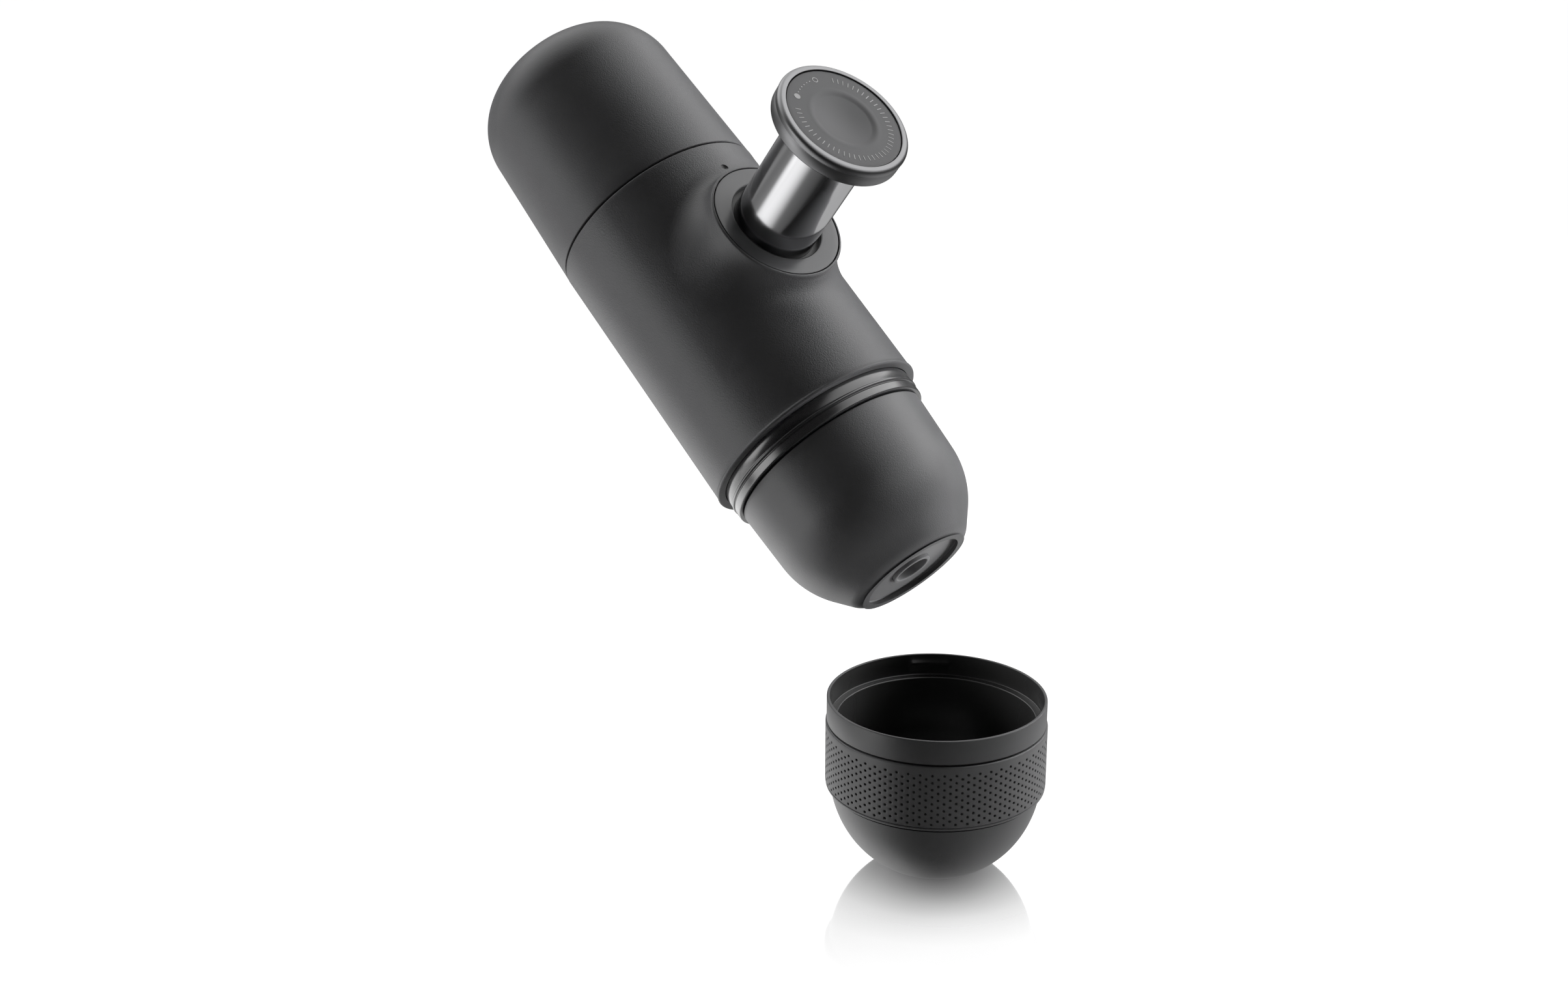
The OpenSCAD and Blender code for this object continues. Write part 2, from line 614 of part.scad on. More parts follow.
// ---- cup ----
// curve of the bowl from its foot up to the angle a0 short of its widest circle
function bowl_line(r, z, rf, zf, a0 = 0, n = 18) =
    [for (i = [n:-1:0]) let(a = a0 + (90 - a0) * i / n) [rf + (r - rf) * cos(a), z - (z - zf) * sin(a)]];
module cup_bowl() {
    groove = sleeve_r - sleeve_t - seat_gap;
    // the round part runs on below the floor and is cut flat there, foot_r wide
    deep = z_bowl / sin(acos((foot_r - bowl_tip_r) / (bowl_r - bowl_tip_r))) - z_bowl;
    a_sleeve = asin((z_bowl - z_sleeve) / (z_bowl + deep));
    color("#1d1d1e") standing() {
        difference() {
            rotate_extrude() intersection() {
                polygon(concat(bowl_line(bowl_r, z_bowl, bowl_tip_r, -deep, a_sleeve),
                    [[groove, z_sleeve], [groove, z_sleeve + sleeve_h + sleeve_gap],
                     [cup_r, z_sleeve + sleeve_h + sleeve_gap]],
                    arc(cup_r - edge, cup_h - edge, edge, 0, 90, 4),
                    [[0, cup_h], [0, -deep]]));
                square([cup_r + 5, cup_h + 1]);
            }
            translate([0, 0, z_ledge]) cylinder(r = cup_mouth_r, h = ledge_depth + 1);
            rotate_extrude() polygon(concat(
                bowl_line(cup_inner_r, z_bowl, 2, cup_floor),
                [[cup_inner_r, z_ledge + 1], [0, z_ledge + 1], [0, cup_floor]]));
        }
        // snap lugs that catch the neck's rib
        intersection() {
            ring(cup_mouth_r + 0.3, neck_r + neck_rib - 0.15, cup_h - 3.2, cup_h - 2.2);
            union() {
                cube([lug_w, 80, 3 * cup_h], center = true);
                cube([80, lug_w, 3 * cup_h], center = true);
            }
        }
    }
}
module cup_sleeve() {
    in_r = sleeve_r - sleeve_t;
    top = z_sleeve + sleeve_h;
    color("#2a2a2b") standing() rotate_extrude() polygon(concat(
        [[in_r, z_sleeve], [sleeve_r - 0.75, z_sleeve], [sleeve_r - 0.25, z_sleeve + 4]],
        [[sleeve_r - 0.15, top - 1.4]],
        arc(sleeve_r - 0.45, top - 0.45, 0.45, 0, 90, 4),
        [[in_r, top]]));
}

tank_shell();
tank_gasket();
body_shell();
tank_deck();
pump_frame();
pump_cylinder();
guide_bush();
collar_ring();
inlet_tube();
inlet_valve();
outlet_valve();
neck_ring();
shower_screen();
screen_screw();
plunger();
plunger_seal();
piston_shaft();
knob_ring();
knob_insert();
head_shell();
nozzle_ring();
crema_valve();
basket_gasket();
filter_basket();
cup_bowl();
cup_sleeve();
return_spring();
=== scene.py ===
import json
from math import acos, asin, atan2, cos, degrees, hypot, pi, radians, sin, sqrt, tan

import bmesh
import bpy
from mathutils import Matrix, Vector


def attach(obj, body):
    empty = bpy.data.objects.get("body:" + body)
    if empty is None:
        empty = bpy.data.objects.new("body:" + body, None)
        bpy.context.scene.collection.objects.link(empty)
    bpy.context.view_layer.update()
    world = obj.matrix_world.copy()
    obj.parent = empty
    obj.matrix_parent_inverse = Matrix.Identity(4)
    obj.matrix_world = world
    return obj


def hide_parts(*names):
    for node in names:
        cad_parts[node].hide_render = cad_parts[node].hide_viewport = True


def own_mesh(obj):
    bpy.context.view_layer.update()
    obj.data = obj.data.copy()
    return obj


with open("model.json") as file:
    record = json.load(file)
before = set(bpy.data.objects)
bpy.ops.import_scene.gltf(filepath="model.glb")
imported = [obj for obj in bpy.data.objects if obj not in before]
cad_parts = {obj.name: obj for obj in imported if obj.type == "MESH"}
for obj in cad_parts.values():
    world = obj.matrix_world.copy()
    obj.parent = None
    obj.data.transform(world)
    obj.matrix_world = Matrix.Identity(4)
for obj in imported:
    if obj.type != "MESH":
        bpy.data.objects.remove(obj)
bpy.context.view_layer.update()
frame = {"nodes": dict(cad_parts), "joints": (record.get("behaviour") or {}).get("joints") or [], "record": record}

# ---- frames and sizes
# Shapes are written in millimetres in one of three local frames and then placed.
MM = 0.001
FULL = 2 * pi
JOINTS = {j["name"]: j for j in frame["joints"]}
MOUNTS = {m["name"]: m for m in frame["record"]["mounts"]}
OUTLET = Vector(JOINTS["head_back_off"]["axis"])  # along the maker, towards its outlet
PISTON = Vector(JOINTS["piston_stroke"]["axis"])  # out of the body, along the piston
ACROSS = OUTLET.cross(PISTON)


def local_frame(x, y, z, origin):
    """Matrix from millimetres along x, y and z, counted from origin, to the row frame."""
    place = Matrix.Identity(4)
    for column, axis in enumerate((x, y, z)):
        for row in range(3):
            place[row][column] = axis[row] * MM
    place.translation = Vector(origin)
    return place


MAKER = local_frame(PISTON, ACROSS, OUTLET, MOUNTS["hand_grip"]["pos_m"])
PUSH = local_frame(-OUTLET, ACROSS, PISTON, JOINTS["piston_twist"]["pos_m"])
CUP = local_frame((1, 0, 0), (0, 1, 0), (0, 0, 1), MOUNTS["cup_foot"]["pos_m"])


def corners_of(node, place):
    """Corners of a CAD node in a local frame."""
    back = place.inverted()
    return [back @ v.co for v in frame["nodes"][node].data.vertices]


def measure(node, place):
    """Lowest station, highest station and widest radius of a CAD node in a local frame."""
    points = corners_of(node, place)
    heights = [p.z for p in points]
    return min(heights), max(heights), max(hypot(p.x, p.y) for p in points)


def radius_at(node, place, station, reach=0.6):
    """Widest radius of a CAD node's corners near a station."""
    return max(hypot(p.x, p.y) for p in corners_of(node, place) if abs(p.z - station) < reach)


BEAD_PROUD = 0.25  # how far the body's bead stands out
SLEEVE_LOW_SHIFT = 1.5  # the sleeve's edges are higher than in the CAD, as in the photograph
SLEEVE_TOP_SHIFT = 0.4

TANK_FOOT, TANK_MOUTH, TANK_R = measure("tank_shell", MAKER)
SEAM, BEAD_END, _ = measure("body_shell", MAKER)
BODY_TOP_R = radius_at("body_shell", MAKER, SEAM)
BODY_LOW_R = radius_at("body_shell", MAKER, BEAD_END) - BEAD_PROUD
NECK_START, SPIGOT_END, NECK_RIB_R = measure("neck_ring", MAKER)
HEAD_START, HEAD_TIP, HEAD_TOP_R = measure("head_shell", MAKER)
NOZZLE_BACK, NOZZLE_TIP, NOZZLE_FLANGE_R = measure("nozzle_ring", MAKER)
PISTON_AT = (MAKER.inverted() @ PUSH.translation).z
COLLAR_LOW, COLLAR_TOP, COLLAR_R = measure("collar_ring", PUSH)
SHAFT_LOW, KNOB_LOW, SHAFT_R = measure("piston_shaft", PUSH)
_, KNOB_TOP, KNOB_R = measure("knob_ring", PUSH)
INSERT_LOW, INSERT_TOP, INSERT_R = measure("knob_insert", PUSH)
_, CUP_H, CUP_R = measure("cup_bowl", CUP)
SLEEVE_LOW, SLEEVE_TOP, SLEEVE_R = measure("cup_sleeve", CUP)
SLEEVE_LOW += SLEEVE_LOW_SHIFT
SLEEVE_TOP += SLEEVE_TOP_SHIFT

# sizes that only the looks need
TANK_END_R = 27.8
TANK_CORNER = 17.0
TANK_WALL = 2.2
TANK_BORE_R = 26.9
TANK_LEDGE = 8.5  # depth of the tank's threaded mouth
BODY_BORE_R = 27.1
NECK_BORE_R = 27.95
BEAD_R = 0.5
BOSS_R = 18.1
BOSS_LIP = 0.55  # rounding of the boss's edge
BOSS_RIM = 1.1  # straight part under the boss's edge
FLARE_W = 6.2  # width of the blend from the boss into the body
DIMPLE_R = 1.15
DIMPLE_AT = 8.4  # from the seam to the index dent
DIMPLE_RISE = 0.5  # from the skin to the middle of the ball that cuts the dent
COLLAR_HOLE_R = 12.3
GUIDE_R = 14.3
NECK_R = 27.8
NECK_END = 44.0
SPIGOT_R = 23.7
HEAD_R = 26.2
HEAD_LEAN = 2.65  # degrees into the shoulder's arc, where the taper meets it
SHOULDER_R = 24.0
SHOULDER_ANGLE = radians(39)
SLOPE_LEN = 4.0
NOSE_R = 6.0
RECESS_R = 14.3
RECESS_DEPTH = 1.6
RECESS_FLOOR = HEAD_TIP - RECESS_DEPTH
NOZZLE_SEAT = RECESS_FLOOR - 3.8
NOZZLE_R = 5.4
NOZZLE_BORE_R = 4.4
DISH_R = 8.9
DISH_DEPTH = 1.1
CUP_MOUTH_R = 28.2
LEDGE_DEPTH = 6.0
CUP_INNER_R = 26.0
BOWL_R = 28.3
BOWL_AT = 21.0  # depth from the rim to the round part
CUP_FLOOR = 2.6
LUG_WIDTH = 11.0
LUG_SHARE = 1 - 0.45 / CUP_MOUTH_R
DOT_COLUMNS = 60  # dots in one row of the sleeve
DOT_ROWS = 15  # rows, each shifted by half a step from the next
DOT_R = 0.4
DOT_DEPTH = 0.45
ROW_STEP = 0.97
SPRING_WIRE = 1.2
SPRING_TURNS = 8
EDGE = 0.3  # small rounded edges
SEAM_GAP = 0.2  # dark line between tank and body
MERGE = 2e-6  # metres under which points of a mesh are one
SLACK = 1e-6
SQUARE = ((-1, -1), (1, -1), (1, 1), (-1, 1))

# the camera, fitted to the photograph
VIEW_TURN = radians(43.3)
VIEW_PITCH = radians(71.87)
VIEW_FROM = Vector((371.8, -376.9, 127.5)) * MM
FLOOR_Z = CUP.translation.z
VIEW_SIDE = Matrix.Rotation(VIEW_TURN, 3, "Z") @ Vector((1, 0, 0))
VIEW_NEAR = Matrix.Rotation(VIEW_TURN, 3, "Z") @ Matrix.Rotation(VIEW_PITCH, 3, "X") @ Vector((0, 0, 1))
VIEW_NEAR.z = 0  # level, towards the camera
VIEW_NEAR.normalize()
LENS = 47.84
LUG_TURN = VIEW_TURN  # the four snap lugs start at the back, as the camera sees it


# ---- making meshes
def arc(cx, cz, r, start, end, steps):
    """Points of an arc, with its angles in degrees."""
    return [(cx + r * cos(radians(start + (end - start) * i / steps)),
             cz + r * sin(radians(start + (end - start) * i / steps)))
            for i in range(steps + 1)]


def corner(x, z, r, start, steps):
    """An outline's rounded corner inside the point (x, z): a quarter turn from the angle start."""
    out = 1 if start in (-90, 0) else -1
    up = -1 if start == -90 else 1
    return arc(x - r * out, z - r * up, r, start, start + 90, steps)


def polar(r, turn, z):
    """A point at a distance and angle round the z axis."""
    return r * cos(turn), r * sin(turn), z


def spread(start, end, count):
    """Evenly spaced numbers from start to end."""
    return [start + (end - start) * k / count for k in range(count + 1)]


def place_object(name, data):
    """A new object at the origin, linked to the scene."""
    made = bpy.data.objects.new(name, data)
    bpy.context.scene.collection.objects.link(made)
    return made


def mesh_piece(name, points, faces, place):
    """A mesh object at the origin, its points given in a local frame."""
    mesh = bpy.data.meshes.new(name)
    mesh.from_pydata([tuple(place @ Vector(p)) for p in points], [], faces)
    mesh.validate()
    merge_points(mesh)
    return place_object(name, mesh)


def merge_points(mesh, turn_out=True):
    """Merges points that coincide, and turns the faces' fronts to the outside."""
    work = bmesh.new()
    work.from_mesh(mesh)
    bmesh.ops.remove_doubles(work, verts=work.verts, dist=MERGE)
    if turn_out:
        bmesh.ops.recalc_face_normals(work, faces=work.faces)
    work.to_mesh(mesh)
    work.free()


def shade(piece, sharp_from=32):
    """Smooth shading, with edges sharper than an angle in degrees kept crisp."""
    piece.data.shade_smooth()
    piece.data.set_sharp_from_angle(angle=radians(sharp_from))
    return piece


class Skin:
    """Collects points and faces of a mesh that is built from loops of equal length."""

    def __init__(self):
        self.points, self.faces = [], []

    def loop(self, points):
        start = len(self.points)
        self.points += points
        return list(range(start, start + len(points)))

    def join(self, low, high):
        for k in range(len(low)):
            n = (k + 1) % len(low)
            self.faces.append([low[k], low[n], high[n], high[k]])

    def add(self, previous, points):
        """Joins a new loop to an earlier one and returns the new one."""
        current = self.loop(points)
        self.join(previous, current)
        return current


def wind(name, rings, place, sharp_from):
    """A bar through rings of points, closed at both ends."""
    skin = Skin()
    here = skin.loop(rings[0])
    skin.faces.append(here[::-1])
    for ring in rings[1:]:
        here = skin.add(here, ring)
    skin.faces.append(here)
    return shade(mesh_piece(name, skin.points, skin.faces, place), sharp_from)


def revolve_data(outline, segments, closed=True):
    """Points and faces of an outline of (radius, station) turned about the z axis."""
    points, rows = [], []
    for r, z in outline:
        if r < SLACK:
            rows.append([len(points)] * segments)
            points.append((0.0, 0.0, z))
        else:
            rows.append(list(range(len(points), len(points) + segments)))
            points += [polar(r, FULL * k / segments, z) for k in range(segments)]
    faces = []
    for low, high in zip(rows, rows[1:] + (rows[:1] if closed else [])):
        for k in range(segments):
            n = (k + 1) % segments
            face = list(dict.fromkeys((low[k], low[n], high[n], high[k])))
            if len(face) > 2:
                faces.append(face)
    return points, faces


def revolve(name, outline, place, segments=256, closed=True):
    """A turned piece, its outline given as (radius, station)."""
    points, faces = revolve_data(outline, segments, closed)
    return shade(mesh_piece(name, points, faces, place))


def dress(piece, body, material, slot, *nodes):
    """Gives a finished piece its material and its body, and hides the CAD nodes it stands for; the slot is not
    used.
    """
    piece.data.materials.clear()
    piece.data.materials.append(material)
    if nodes:
        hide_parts(*nodes)
    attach(piece, body)
    return piece


def second_finish(piece, material, place, chosen):
    """Paints the faces whose middle and normal, in a local frame, pass a test."""
    piece.data.materials.append(material)
    index = len(piece.data.materials) - 1
    back = place.inverted()
    turn = back.to_3x3()
    for face in piece.data.polygons:
        if chosen(back @ face.center, (turn @ face.normal).normalized()):
            face.material_index = index


# ---- shader helpers
def feed(tree, made, inputs):
    """Sets a node's inputs to values, or links them from sockets."""
    for key, value in inputs.items():
        if isinstance(value, bpy.types.NodeSocket):
            tree.links.new(value, made.inputs[key])
        else:
            made.inputs[key].default_value = value


def node(tree, kind, inputs=None, **settings):
    """A node with settings, and with inputs given as values or as sockets.

    Only the names of shader nodes are shortened: MapRange is the node ShaderNodeMapRange.
    """
    made = tree.nodes.new(kind if "Node" in kind else "ShaderNode" + kind)
    for key, value in settings.items():
        setattr(made, key, value)
    feed(tree, made, inputs or {})
    return made


def flow(tree, kind, inputs=None, **settings):
    """The first output of a new node."""
    return node(tree, kind, inputs, **settings).outputs[0]


def maths(tree, operation, a, b=None):
    """One step of arithmetic on sockets or numbers."""
    return flow(tree, "Math", {0: a} if b is None else {0: a, 1: b}, operation=operation)


def new_group(name, kind, inputs, outputs):
    """A node group with its named sockets, and what its input node gives."""
    group = bpy.data.node_groups.new(name, kind)
    for in_out, sockets in (("INPUT", inputs), ("OUTPUT", outputs)):
        for socket, holds in sockets.items():
            group.interface.new_socket(socket, in_out=in_out, socket_type="NodeSocket" + holds)
    return group, node(group, "NodeGroupInput").outputs


def empty_tree(owner):
    """The node tree of a material or a world, with nothing in it."""
    owner.use_nodes = True
    owner.node_tree.nodes.clear()
    return owner.node_tree


def grain_group():
    """Moulded or brushed surface relief: a height, and a slow change of tone."""
    group, given = new_group(
        "surface_grain", "ShaderNodeTree",
        {"Vector": "Vector", "Grain size": "Float", "Patch size": "Float", "Roundness": "Float"},
        {"Height": "Float", "Tone": "Float"})
    where = given["Vector"]
    fine, slow = (maths(group, "DIVIDE", 1 / MM, given[size]) for size in ("Grain size", "Patch size"))
    noise, patches = (
        flow(group, "TexNoise", {"Vector": where, "Scale": scale, "Detail": detail, "Roughness": rough})
        for scale, detail, rough in ((fine, 3.0, 0.6), (slow, 4.0, 0.55)))
    cells = flow(group, "TexVoronoi", {"Vector": where, "Scale": fine}, feature="SMOOTH_F1")
    blend = flow(group, "Mix", {"Factor": given["Roundness"], "A": noise, "B": cells})
    node(group, "NodeGroupOutput", {"Height": blend, "Tone": patches})
    return group


GRAIN = grain_group()
PATCH_SIZE = 12.0  # millimetres over which a finish drifts in tone
ROUNDNESS = 0.5  # share of round cells in the grain


def surface(name, colour, roughness, grain, depth, colour_change=0.12, rough_change=0.06, metallic=0.0,
            specular=0.5, stretch=(1, 1, 1), turn=None, coat=0.0):
    """One finish: colour and roughness drift slowly, and the grain makes the relief."""
    material = bpy.data.materials.new(name)
    material.use_nodes = True
    tree = material.node_tree
    turned = node(tree, "Mapping", {"Vector": node(tree, "TexCoord").outputs["Object"]},
                  vector_type="TEXTURE")
    if turn is not None:
        turned.inputs["Rotation"].default_value = turn.to_3x3().normalized().to_euler()
    squeezed = flow(tree, "Mapping", {"Vector": turned.outputs["Vector"], "Scale": stretch})
    relief = node(tree, "Group", {
        "Vector": squeezed, "Grain size": grain, "Patch size": PATCH_SIZE, "Roundness": ROUNDNESS},
        node_tree=GRAIN).outputs
    dark, light = ([c * share for c in colour] + [1] for share in (1 - colour_change, 1 + colour_change))
    tint = node(tree, "Mix", {"Factor": relief["Tone"], "A": dark, "B": light},
                data_type="RGBA").outputs["Result"]
    rough = flow(tree, "MapRange", {
        "Value": relief["Tone"], "To Min": roughness - rough_change, "To Max": roughness + rough_change})
    bump = flow(tree, "Bump", {"Strength": 1.0, "Distance": depth * MM, "Height": relief["Height"]})
    feed(tree, tree.nodes["Principled BSDF"], {
        "Base Color": tint, "Roughness": rough, "Normal": bump, "Metallic": metallic,
        "Specular IOR Level": specular, "Coat Weight": coat})
    return material


# ---- finishes
# name, colour, roughness, then the grain's size and depth in millimetres
CHARCOAL = (0.057, 0.057, 0.059)
M_BODY = surface("body_charcoal", CHARCOAL, 0.4, 0.3, 0.085)
M_TANK = surface("tank_charcoal", CHARCOAL, 0.43, 0.28, 0.07)
M_HEAD = surface("head_charcoal", (0.07, 0.07, 0.072), 0.38, 0.26, 0.055)
M_NECK = surface("neck_gloss_black", (0.022, 0.022, 0.023), 0.26, 0.6, 0.0006,
                 rough_change=0.02, specular=1.0, coat=0.7)
M_COLLAR = surface("collar_satin", (0.052, 0.052, 0.054), 0.25, 0.5, 0.003)
M_NOZZLE = surface("nozzle_satin", (0.13, 0.13, 0.133), 0.33, 0.5, 0.003)
M_SHAFT = surface("shaft_polished", (0.6, 0.6, 0.61), 0.13, 0.15, 0.0012,
                  metallic=1.0, turn=PUSH, stretch=(1, 1, 0.05), colour_change=0.03, rough_change=0.03)
M_KNOB = surface("knob_satin_metal", (0.255, 0.255, 0.26), 0.43, 0.26, 0.006,
                 metallic=1.0, colour_change=0.05)
M_INSERT = surface("insert_satin", (0.037, 0.037, 0.039), 0.46, 0.3, 0.003)
M_MARKS = surface("mark_print", (0.28, 0.28, 0.28), 0.55, 0.2, 0.004)
M_INNER = surface("inner_black", (0.022, 0.022, 0.022), 0.45, 0.6, 0.01)
M_CYLINDER = surface("cylinder_machined", (0.5, 0.5, 0.51), 0.3, 0.25, 0.006,
                     metallic=1.0, turn=PUSH, stretch=(0.1, 0.1, 1))
M_STEEL = surface("pressed_steel", (0.55, 0.55, 0.56), 0.24, 0.35, 0.004, metallic=1.0)
M_WIRE = surface("drawn_wire", (0.5, 0.5, 0.5), 0.22, 0.3, 0.003, metallic=1.0)
M_RUBBER = surface("seal_rubber", (0.016, 0.016, 0.016), 0.62, 0.3, 0.01)
M_RED = surface("red_seal_rubber", (0.35, 0.06, 0.03), 0.5, 0.5, 0.006)
M_PALE = surface("pale_silicone", (0.55, 0.52, 0.45), 0.42, 0.8, 0.006)
M_CUP = surface("cup_satin_black", (0.045, 0.045, 0.046), 0.4, 0.32, 0.014)
M_CUP_IN = surface("cup_gloss_inside", (0.028, 0.028, 0.028), 0.22, 2.5, 0.002, rough_change=0.03)
M_SLEEVE = surface("sleeve_rubber", (0.055, 0.055, 0.056), 0.42, 0.2, 0.006)
# darker colour for the walls of the sleeve's dents: painted shade in the hollows
M_DENT_SHADE = surface("sleeve_dent_painted_shade", (0.012, 0.012, 0.012), 0.5, 0.2, 0.004)


# ---- water tank
def make_tank():
    foot = TANK_END_R - TANK_CORNER
    centre = TANK_FOOT + TANK_CORNER
    inner = TANK_CORNER - TANK_WALL
    outline = ([(0, TANK_FOOT)] + [(foot * k / 4, TANK_FOOT) for k in (1, 2, 3)]
               + arc(foot, centre, TANK_CORNER, -90, 0, 40)
               + [(TANK_END_R + (TANK_R - TANK_END_R) * k / 12,
                   centre + (TANK_MOUTH - EDGE - centre) * k / 12) for k in range(1, 12)]
               + corner(TANK_R, TANK_MOUTH, EDGE, 0, 6)
               + [(TANK_BORE_R + 0.3, TANK_MOUTH), (TANK_BORE_R, TANK_MOUTH - 0.3),
                  (TANK_BORE_R, TANK_MOUTH - TANK_LEDGE),
                  (TANK_R - TANK_WALL - 2, TANK_MOUTH - TANK_LEDGE)]
               + arc(foot, centre, inner, 0, -90, 24) + [(0, TANK_FOOT + TANK_WALL)])
    dress(revolve("tank_cap", outline, MAKER, closed=False), "tank", M_TANK, "tank_plastic", "tank_shell")


# ---- body with its collar boss
COLUMNS = 240
PATCH_COLUMNS = 43  # half the width of the skin's window round the boss
PATCH_HALF = 28.5  # half its length along the maker
PATCH_ROWS = 76
PATCH_RINGS = 6  # from the window's edge to the circle
FLARE_STEPS = 26


def body_radius(z):
    return BODY_TOP_R + (BODY_LOW_R - BODY_TOP_R) * (z - SEAM) / (BEAD_END - SEAM)


def side_height(radius, y, z):
    """Height of a tube's side over the maker's axis, at a distance y to the side."""
    return sqrt(radius(z) ** 2 - y * y)


def windowed_tube(skin, rows, radius, hole_r):
    """A tube of rows with a window whose edge runs in rings to a circle round the piston.

    Returns the first row, the last row, the circle's loop and the directions of its points.
    """
    step = FULL / COLUMNS
    first = PISTON_AT - PATCH_HALF
    window = [z for z in rows if first - SLACK <= z <= first + 2 * PATCH_HALF + SLACK]
    loops = {z: skin.loop([polar(radius(z), step * k, z) for k in range(COLUMNS)]) for z in rows}
    side = range(-PATCH_COLUMNS, PATCH_COLUMNS)
    for low, high in zip(rows, rows[1:]):
        for k in range(COLUMNS):
            signed = k if k < COLUMNS / 2 else k - COLUMNS
            if signed in side and low >= window[0] - SLACK and high <= window[-1] + SLACK:
                continue
            n = (k + 1) % COLUMNS
            skin.faces.append([loops[low][k], loops[low][n], loops[high][n], loops[high][k]])
    border = ([(window[0], k) for k in side] + [(z, PATCH_COLUMNS) for z in window[:-1]]
              + [(window[-1], -k) for k in side] + [(z, -PATCH_COLUMNS) for z in window[:0:-1]])
    half_angle = PATCH_COLUMNS * step
    directions = [atan2(k * step / half_angle, (z - PISTON_AT) / PATCH_HALF) for z, k in border]
    circle = [(hole_r * sin(d), PISTON_AT + hole_r * cos(d)) for d in directions]
    here = [loops[z][k % COLUMNS] for z, k in border]
    for ring in range(1, PATCH_RINGS):
        share = ring / PATCH_RINGS
        share = share * (2 - share)
        points = []
        for (z, k), (cy, cz) in zip(border, circle):
            turn = k * step * (1 - share) + asin(cy / radius(cz)) * share
            at = z * (1 - share) + cz * share
            points.append(polar(radius(at), turn, at))
        here = skin.add(here, points)
    here = skin.add(here, [(side_height(radius, cy, cz), cy, cz) for cy, cz in circle])
    return loops[rows[0]], loops[rows[-1]], here, directions


def make_body():
    """The shell as one skin: its outside, the flare, the boss, the bore and both ends."""
    skin = Skin()
    window_rows = spread(PISTON_AT - PATCH_HALF, PISTON_AT + PATCH_HALF, PATCH_ROWS)
    straight_end = BEAD_END - BEAD_R * 2.4
    rows = [SEAM + SEAM_GAP + EDGE] + window_rows + spread(window_rows[-1], straight_end, 14)[1:]
    first, last, here, directions = windowed_tube(skin, rows, body_radius, BOSS_R + FLARE_W)
    # blend from the body up to the boss, then the boss's rounded edge and its pocket
    top = COLLAR_TOP - BOSS_RIM
    for k in range(1, FLARE_STEPS + 1):
        t = pi / 2 * (1 - k / FLARE_STEPS)
        rho = BOSS_R + FLARE_W * (1 - cos(t))
        points = []
        for d in directions:
            y, z = rho * sin(d), PISTON_AT + rho * cos(d)
            base = side_height(body_radius, y, z)
            points.append((base + (top - base) * (1 - sin(t)), y, z))
        here = skin.add(here, points)
    pocket_r = COLLAR_R + 0.25
    edge_line = (corner(BOSS_R, COLLAR_TOP, BOSS_LIP, 0, 5) + corner(pocket_r, COLLAR_TOP, 0.12, 90, 3)
                 + [(pocket_r, COLLAR_LOW), (GUIDE_R, COLLAR_LOW)])
    for rho, x in edge_line:
        here = skin.add(here, [(x, rho * sin(d), PISTON_AT + rho * cos(d)) for d in directions])
    # inner wall of the shell, with the guide's hole
    bore_rows = [SEAM] + window_rows + spread(window_rows[-1], NECK_START, 6)[1:]
    bore_first, bore_last, bore_circle, _ = windowed_tube(skin, bore_rows, lambda z: BODY_BORE_R, GUIDE_R)
    skin.join(here, bore_circle)

    def close_end(here, outline, end):
        for r, z in outline:
            here = skin.add(here, [polar(r, FULL * k / COLUMNS, z) for k in range(COLUMNS)])
        skin.join(here, end)

    close_end(first, arc(BODY_TOP_R - EDGE, SEAM + SEAM_GAP + EDGE, EDGE, 0, -90, 4)[1:]
              + [(BODY_TOP_R - 1.2, SEAM + SEAM_GAP), (BODY_TOP_R - 1.2, SEAM)], bore_first)
    close_end(last, [(BODY_LOW_R + BEAD_PROUD * 0.35, BEAD_END - BEAD_R * 1.8),
                     (BODY_LOW_R + BEAD_PROUD * 0.85, BEAD_END - BEAD_R * 1.35)]
              + corner(BODY_LOW_R + BEAD_PROUD, BEAD_END, BEAD_R, 0, 10)
              + [(NECK_BORE_R, BEAD_END), (NECK_BORE_R, NECK_START)], bore_last)
    body = mesh_piece("body_main", skin.points, skin.faces, MAKER)
    cut_dimple(body)
    dress(shade(body, 38), "housing", M_BODY, "body_plastic", "body_shell")


def cut_dimple(body):
    """The small index dent between the seam and the collar."""
    at = SEAM + DIMPLE_AT
    share = 1 - (abs(at - PISTON_AT) - BOSS_R) / FLARE_W
    height = body_radius(at) + (COLLAR_TOP - BOSS_RIM - body_radius(at)) * (1 - sin(acos(share)))
    outline = [(0, -DIMPLE_R)] + arc(0, 0, DIMPLE_R, -75, 75, 10) + [(0, DIMPLE_R)]
    points, faces = revolve_data(outline, 32, closed=False)
    points = [(height + DIMPLE_RISE + x, y, at + z) for x, y, z in points]
    tool = mesh_piece("dimple_tool", points, faces, MAKER)
    cut = body.modifiers.new("dimple", "BOOLEAN")
    cut.operation, cut.object, cut.solver = "DIFFERENCE", tool, "EXACT"
    settle(body)
    bpy.data.objects.remove(tool)


def settle(piece):
    """Turns a piece with modifiers into a plain mesh."""
    graph = bpy.context.evaluated_depsgraph_get()
    mesh = bpy.data.meshes.new_from_object(piece.evaluated_get(graph))
    piece.modifiers.clear()
    piece.data = mesh
    return piece


def make_collar():
    top, low, hole = COLLAR_TOP - 0.05, COLLAR_LOW, COLLAR_HOLE_R
    outline = ([(hole, low), (COLLAR_R, low)] + corner(COLLAR_R, top, 0.2, 0, 4)
               + [(COLLAR_R - 1.5, top), (hole + 2, top)] + corner(hole, top, 0.45, 90, 6))
    dress(revolve("collar_plate", outline, PUSH), "housing", M_COLLAR, "collar_plastic", "collar_ring")


